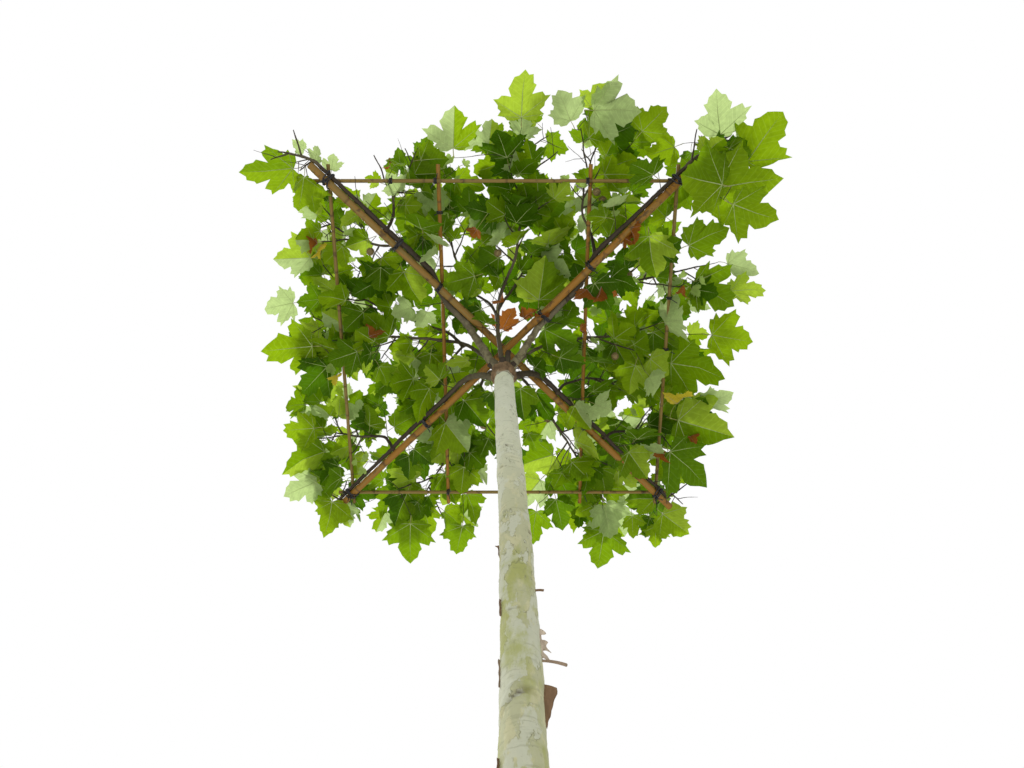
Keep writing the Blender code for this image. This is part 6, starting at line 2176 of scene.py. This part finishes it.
def gather_leaves(draw):
    """Facts of all leaves as arrays, and the tints of their left and right halves. A leaf's tint comes from
    its twig, its height, its place and chance, unless it has one of its own: height and reach give higher,
    outer leaves lighter greens as painted light and inner ones darker greens as painted shade. Some leaves
    get a lighter right half as painted light."""
    rows, tints, halves, curls = [], [], [], []
    masses = Tree.get().masses
    for mass in masses:
        for root, axis, normal, blade, spray, kept in mass.leaves:
            rows.append((root, axis, normal, blade, PETIOLE))
            lean = random.Random(spray + "/tint").gauss(0, TWIG_TINT_SPREAD)
            outer = math.hypot(root[0] - CROWN_X, root[1]) - TINT_REACH
            value = lean + draw.normal(0, LEAF_TINT_SPREAD)
            # Painted light and shade: higher and outer leaves lighter, lower and inner ones darker
            value += PAINTED_LIGHT_RISE * (root[2] - TINT_Z) + PAINTED_LIGHT_OUTWARD * outer
            grade = TINTS.index(kept) if kept else int(np.digitize(value, TINT_STEPS))
            # Painted light on one half of some leaves: a lighter tint for the half right of the midrib
            two = draw.random() < LIT_HALF_SHARE
            tints.append(grade)
            halves.append(min(grade + int(draw.integers(1, 3)), len(TINT_STEPS)) if two else grade)
            curls.append(0.0)
    wood = np.concatenate([limb.points for mass in masses for limb in mass.limbs.values()])
    for middle, size, curl, kind in OLD_LEAVES:
        apart = np.linalg.norm(wood - middle, axis=1) + 2.0 * (wood[:, 2] < middle[2])
        near = wood[apart.argmin()]
        way = np.array(middle) - near
        reach = max(np.linalg.norm(way), 0.02)
        axis = unit(way + 1e-6)
        upright = unit(np.cross(axis, np.cross(UP + 0.5 * draw.normal(size=3), axis)))
        rows.append((near, axis, upright, size, max(0.015, reach - 0.4 * size)))
        tints.append(TINTS.index(kind))
        halves.append(TINTS.index(kind))
        curls.append(curl)
    names = ("root", "axis", "normal", "blade", "stalk")
    facts = {name: np.array(column) for name, column in zip(names, zip(*rows))}
    facts.update({name: draw.normal(*spread, len(rows)) for name, spread in LEAF_FORMS.items()})
    curls = np.array(curls)
    facts["lobing"] = np.clip(facts["lobing"], 0, 1)
    facts["arch"] = np.clip(facts["arch"], -0.05, 0.6) + CURL_ARCH * curls
    facts["fold"] += CURL_FOLD * curls
    facts["ripple"] = np.abs(facts["ripple"])
    facts["unrest"] = np.abs(facts["unrest"]) + CURL_UNREST * curls
    tints, halves = np.array(tints), np.array(halves)
    return facts, tints, np.where(tints < TINTS.index("young"), halves, tints)


def leaf_points(facts, draw):
    """Points of many lobed leaves at once: for each leaf its base, the ring half way out and its rim. Across
    and along, a point is the half outline, mirrored, with its notches deepened, its teeth lengthened and its
    lobes stretched by each leaf's own shares. Upwards, it is an arch along the leaf and across it, a fold
    along the midrib, a lift or droop of each lobe, and a ripple."""
    count, half = len(facts["blade"]), LEAF_OUTLINE
    outline = np.concatenate((half * (-1, 1), half[-2::-1]))
    columns = len(outline)
    kinds = np.concatenate((np.arange(len(half)), np.arange(len(half) - 1)[::-1]))
    scale = np.ones((count, columns))
    scale += np.isin(kinds, LEAF_NOTCHES) * (NOTCH_SHARE * (1 - facts["lobing"][:, None]) - NOTCH_DEPTH)
    scale += np.isin(kinds, LEAF_TEETH) * draw.normal(0.0, TOOTH_SPREAD, (count, columns))
    left = np.arange(columns) < columns // 2
    for lobe, spread in ((LEAF_SIDE_LOBE, SIDE_LOBE_SPREAD), (LEAF_LOW_LOBE, LOW_LOBE_SPREAD)):
        for half_side in (left, ~left):
            scale += (np.isin(kinds, lobe) & half_side) * draw.normal(0.0, spread, (count, 1))
    scale += draw.normal(0.0, RIM_SPREAD, (count, columns))
    rim = outline[None] * scale[:, :, None]
    rim[:, :, 0] += facts["bend"][:, None] * rim[:, :, 1] ** 2
    phase = draw.uniform(0, 2 * math.pi, (count, 1))
    lifts = [draw.normal(0.0, facts["unrest"][:, None], (count, 1)) for _ in range(5)]
    tips = [outline[np.flatnonzero(kinds == k)] for k in (LEAF_VEINS[1], LEAF_VEINS[0], LEAF_VEINS[2])]
    made = [np.zeros((count, 1, 3))]
    for share in LEAF_RINGS:
        x, y = rim[:, :, 0] * share, rim[:, :, 1] * share
        z = -facts["arch"][:, None] * y * np.abs(y) - CROSS_ARCH * x**2
        z += facts["fold"][:, None] * np.abs(x)
        for lift, (cx, cy) in zip(lifts, np.concatenate(tips)):
            apart = (outline[:, 0] - cx) ** 2 + (outline[:, 1] - cy) ** 2
            z += lift * share**2 * np.exp(-(apart / LOBE_WIDTH))
        turn = np.arctan2(x, y + RIPPLE_MIDDLE)
        z += facts["ripple"][:, None] * share**2 * np.cos(RIPPLES * turn + phase)
        made.append(np.stack((x, y, z), -1))
    made = np.concatenate(made, 1) * facts["blade"][:, None, None]
    made[:, :, 1] += facts["stalk"][:, None]
    frames = np.stack((np.cross(facts["axis"], facts["normal"]), facts["axis"], facts["normal"]), 1)
    return facts["root"][:, None] + np.einsum("lpk,lkj->lpj", made, frames), outline, kinds


def leaf_faces(columns):
    """Faces of a leaf: a fan from the base to the first ring, then quads to the rim."""
    k = np.arange(columns - 1)
    fan = np.stack((np.zeros(columns - 1, int), k + 2, k + 1, np.full(columns - 1, -1)), 1)
    quads = np.stack((k + 1, k + 2, k + 2 + columns, k + 1 + columns), 1)
    return np.concatenate((fan, quads))


def leaf_uv(outline, veins):
    """Distance along and away from the nearest vein, at a leaf's base, ring and rim."""
    ways = outline[veins] / np.linalg.norm(outline[veins], axis=1)[:, None]
    along = outline @ ways.T
    away = np.abs(outline[:, :1] * ways[:, 1] - outline[:, 1:] * ways[:, 0])
    nearest = away.argmin(1)[:, None]
    rim = np.concatenate([np.take_along_axis(column, nearest, 1) for column in (along, away)], 1)
    return np.concatenate(([(0.0, 0.0)], *[share * rim for share in LEAF_RINGS]))


class ROOFTREE_OT_leaves(bpy.types.Operator):
    """Make the leaves with their veins and stalks"""

    bl_idname = "rooftree.leaves"
    bl_label = "Leaves"

    def execute(self, context):
        look = context.scene.rooftree_foliage
        draw = np.random.default_rng(7)
        facts, tints, halves = gather_leaves(draw)
        points, outline, kinds = leaf_points(facts, draw)
        count, columns = len(tints), len(outline)
        veins = np.flatnonzero(np.isin(kinds, LEAF_VEINS))
        right = np.tile(np.arange(columns - 1) >= columns // 2, 2)
        slots = np.where(right[None], halves[:, None], tints[:, None]).ravel()
        faces = copies(leaf_faces(columns), points.shape[1], count)
        leaves = Surface()
        leaves.add(points.reshape(-1, 3), faces, slots, leaf=np.tile(leaf_uv(outline, veins), (count, 1)))
        finishes = [leaf(f"leaf_{name}", getattr(look, name), look.glow) for name in TINTS]
        leaves.piece("leaves", finishes, "foliage", *MASSES)
        self.make_veins(look, facts, points, kinds, veins, tints)
        self.make_stalks(look, facts, points[:, :1])
        return {"FINISHED"}

    def make_veins(self, look, facts, points, kinds, veins, tints):
        """Along each vein, a four-sided tube from the leaf's base over its ring to near its rim."""
        surface = Surface()
        normal, count = facts["normal"], len(points)
        size = (facts["blade"] / FULL_BLADE)[:, None, None]
        k = np.arange(4)
        after = (k + 1) % 4
        quads = np.stack((k, after, after + 4, k + 4), 1)
        ends = np.stack((k + 4, after + 4, np.full(4, 8), np.full(4, -1)), 1)
        faces = copies(np.concatenate((quads, ends)), 9, count)
        dry = np.repeat(tints >= TINTS.index("yellow"), len(quads) + len(ends)).astype(int)
        for column in veins:
            base, middle, rim = points[:, 0], points[:, 1 + column], points[:, 1 + len(kinds) + column]
            tip = middle + VEIN_REACH * (rim - middle)
            line = (middle - base) / np.linalg.norm(middle - base, axis=1)[:, None]
            beside, down = np.cross(line, normal)[:, None], normal[:, None]
            half = VEIN_WIDTHS[LEAF_VEINS.index(kinds[column])] * look.vein_width / 2 * size
            stations = [
                place[:, None] + side * half * share * flat
                for place, share in ((base, 1.0), (middle, VEIN_MIDDLE))
                for side, flat in ((-beside, 1.0), (-down, 0.8), (beside, 1.0), (down, 0.5))
            ]
            surface.add(np.concatenate((*stations, tip[:, None]), 1).reshape(-1, 3), faces, dry)
        tones = {"vein": look.vein, "vein_dry": shade(look.rust, 0.6, 0.2)}
        finishes = [plain_growth(name, tone, 90.0, 0.12) for name, tone in tones.items()]
        surface.piece("leaf_veins", finishes, "foliage", *MASSES)

    def make_stalks(self, look, facts, base):
        """Four-sided tubes from the leaves' roots to their bases, lifted in the middle by a half wave."""
        surface = Surface()
        rows, sides, count = 5, 4, len(base)
        normal = facts["normal"][:, None]
        start, across = facts["root"][:, None], np.cross(facts["axis"], facts["normal"])[:, None]
        t = np.linspace(0, 1, rows)[None, :, None]
        sag = 0.10 * facts["stalk"][:, None, None] * np.sin(math.pi * t) * normal
        path = start + (base - start) * t + sag
        size = np.clip(facts["blade"] / FULL_BLADE, 0.7, 1.2)[:, None, None]
        thick = look.stalk_radius * (1.25 - 0.35 * t) * size
        turn = (np.arange(sides) * math.pi / 2)[None, None, :, None]
        ring = np.cos(turn) * across[:, :, None] + np.sin(turn) * normal[:, :, None]
        body = path[:, :, None] + thick[:, :, None] * ring
        shapes = grid_faces(rows, sides)[:, ::-1], ((0, 1, 2, 3), (19, 18, 17, 16))
        faces = np.concatenate([copies(shape, rows * sides, count) for shape in shapes])
        surface.add(body.reshape(-1, 3), faces)
        surface.piece("leaf_stalks", [plain_growth("leaf_stalk", look.stalk, 80.0, 0.25)], "foliage", *MASSES)


class ROOFTREE_OT_seed_balls(bpy.types.Operator):
    """Make the seed balls with their bristles and stalks"""

    bl_idname = "rooftree.seed_balls"
    bl_label = "Seed balls"

    def execute(self, context):
        surface = Surface()
        k = np.arange(BRISTLES) + 0.5
        polar, turn = np.arccos(1 - 2 * k / BRISTLES), math.pi * (1 + 5**0.5) * k
        spikes = np.stack((np.cos(turn) * np.sin(polar), np.sin(turn) * np.sin(polar), np.cos(polar)), 1)
        side = np.cross(spikes, (0.3, 0.5, 0.8))
        side /= np.linalg.norm(side, axis=1)[:, None]
        other = np.cross(spikes, side)
        feet = [BRISTLE_WIDTH * (math.cos(a) * side + math.sin(a) * other) for a in BRISTLE_CORNERS]
        faces = copies(((0, 1, 3, -1), (1, 2, 3, -1), (2, 0, 3, -1), (0, 2, 1, -1)), 4, BRISTLES)
        rows, columns = BALL_GRID
        tilt, spin = np.linspace(0, math.pi, rows + 2)[1:-1, None], circle(columns)[0]
        sphere = joined(np.sin(tilt) * np.cos(spin), np.sin(tilt) * np.sin(spin), np.cos(tilt))
        lumps = 1 + bulges(sphere, (BALL_LUMPS,))
        core = BALL_RADIUS * BALL_CORE
        t = np.linspace(0, 1, STALK_POINTS)[:, None]
        thick, aslant = np.linspace(*STALK_RADII, STALK_POINTS), np.array((1.0, 0.1, 0.0))
        for root, foot in [place for mass in Tree.get().masses for place in mass.fruits]:
            poles = foot + core * np.array(((0, 0, 1.0), (0, 0, -1.0)))
            add_closed(surface, foot + core * lumps[:, :, None] * sphere, poles)
            base, tips = (foot + reach * spikes for reach in (BRISTLE_FOOT * core, BRISTLE_TIP * BALL_RADIUS))
            surface.add(np.stack([*(base + corner for corner in feet), tips], 1).reshape(-1, 3), faces)
            aside = unit(np.cross(foot - root, (0.2, 0.9, 0.1)))
            path = root + (foot - root) * t + STALK_BOW * np.sin(t * math.pi) * aside
            add_skin(surface, path, thick, STALK_SIDES, reference=aslant)
        finish = plain_growth("seed_ball", context.scene.rooftree_foliage.ball, 260.0, 0.35)
        surface.piece("seed_balls", [finish], "foliage", *MASSES)
        return {"FINISHED"}


class ROOFTREE_OT_stage(bpy.types.Operator):
    """Make the floor, the light and the camera"""

    bl_idname = "rooftree.stage"
    bl_label = "Stage"

    def execute(self, context):
        look = context.scene.rooftree_stage
        rim = np.column_stack((circle(FLOOR_SIDES)[1], np.zeros(FLOOR_SIDES))) * look.floor_size
        mesh = bpy.data.meshes.new("floor")
        mesh.from_pydata(rim - FLOOR_DEPTH * UP, [], [list(range(FLOOR_SIDES))])
        finish, graph = material("floor", 0.9, 0.2)
        tone = graph.mix(graph.noise(graph.object_point(), 3.0), shade(look.floor, 0.97), look.floor)
        mesh.materials.append(coated(finish, tone))
        floor = bpy.data.objects.new("floor", mesh)

        world = bpy.data.worlds.new("studio")
        context.scene.world = world
        world.use_nodes = True
        world.node_tree.nodes.clear()
        graph = Graph(world.node_tree)
        white = (1.0, 1.0, 1.0, 1.0)
        soft = graph.add("ShaderNodeBackground", white, look.ambient).outputs[0]
        backdrop = graph.add("ShaderNodeBackground", white, 1.0).outputs[0]
        camera_ray = graph.add("ShaderNodeLightPath").outputs["Is Camera Ray"]
        either = graph.add("ShaderNodeMixShader", camera_ray, soft, backdrop).outputs[0]
        graph.add("ShaderNodeOutputWorld", either)

        sun = bpy.data.lights.new("top_light", "SUN")
        sun.energy = look.key
        sun.angle = math.radians(LIGHT_ANGLE)
        lamp = bpy.data.objects.new("top_light", sun)
        lamp.rotation_euler = (*np.radians(LIGHT_LEAN), 0.0)

        camera = bpy.data.objects.new("camera", bpy.data.cameras.new("camera"))
        camera.data.lens = FOCAL_LENGTH / PICTURE_WIDTH * SENSOR_WIDTH
        camera.data.sensor_width = SENSOR_WIDTH
        camera.data.clip_start = NEAR_CLIP
        camera.location = tuple(EYE)
        camera.rotation_euler = (math.radians(90 + CAMERA_TILT), 0.0, 0.0)
        for made in (floor, lamp, camera):
            context.scene.collection.objects.link(made)
        context.scene.camera = camera
        context.scene.view_settings.view_transform = "Standard"
        return {"FINISHED"}


class ROOFTREE_PT_panel(bpy.types.Panel):
    """Lists the operators and the settings"""

    bl_idname = "ROOFTREE_PT_panel"
    bl_label = "Roof tree"
    bl_space_type = "VIEW_3D"
    bl_region_type = "UI"
    bl_category = "Roof tree"

    def draw(self, context):
        for name, group in SETTINGS.items():
            box = self.layout.box()
            for setting in group.__annotations__:
                box.prop(getattr(context.scene, name), setting)
        for operator in OPERATORS:
            self.layout.operator(operator.bl_idname)


SETTINGS = {
    "rooftree_bark": BarkLook, "rooftree_canes": CaneLook,
    "rooftree_foliage": FoliageLook, "rooftree_stage": StageLook,
}
OPERATORS = (
    ROOFTREE_OT_stem, ROOFTREE_OT_loose_bark, ROOFTREE_OT_boughs, ROOFTREE_OT_canes, ROOFTREE_OT_ties,
    ROOFTREE_OT_twigs, ROOFTREE_OT_leaves, ROOFTREE_OT_seed_balls, ROOFTREE_OT_stage,
)


def register():
    for group in (*SETTINGS.values(), *OPERATORS, ROOFTREE_PT_panel):
        bpy.utils.register_class(group)
    for name, group in SETTINGS.items():
        setattr(bpy.types.Scene, name, bpy.props.PointerProperty(type=group))


def unregister():
    for name in SETTINGS:
        delattr(bpy.types.Scene, name)
    for group in (ROOFTREE_PT_panel, *reversed(OPERATORS), *reversed(SETTINGS.values())):
        bpy.utils.unregister_class(group)


def main():
    register()
    for operator in OPERATORS:
        area, name = operator.bl_idname.split(".")
        getattr(getattr(bpy.ops, area), name)()
    bpy.context.view_layer.update()


if __name__ == "__main__":
    main()
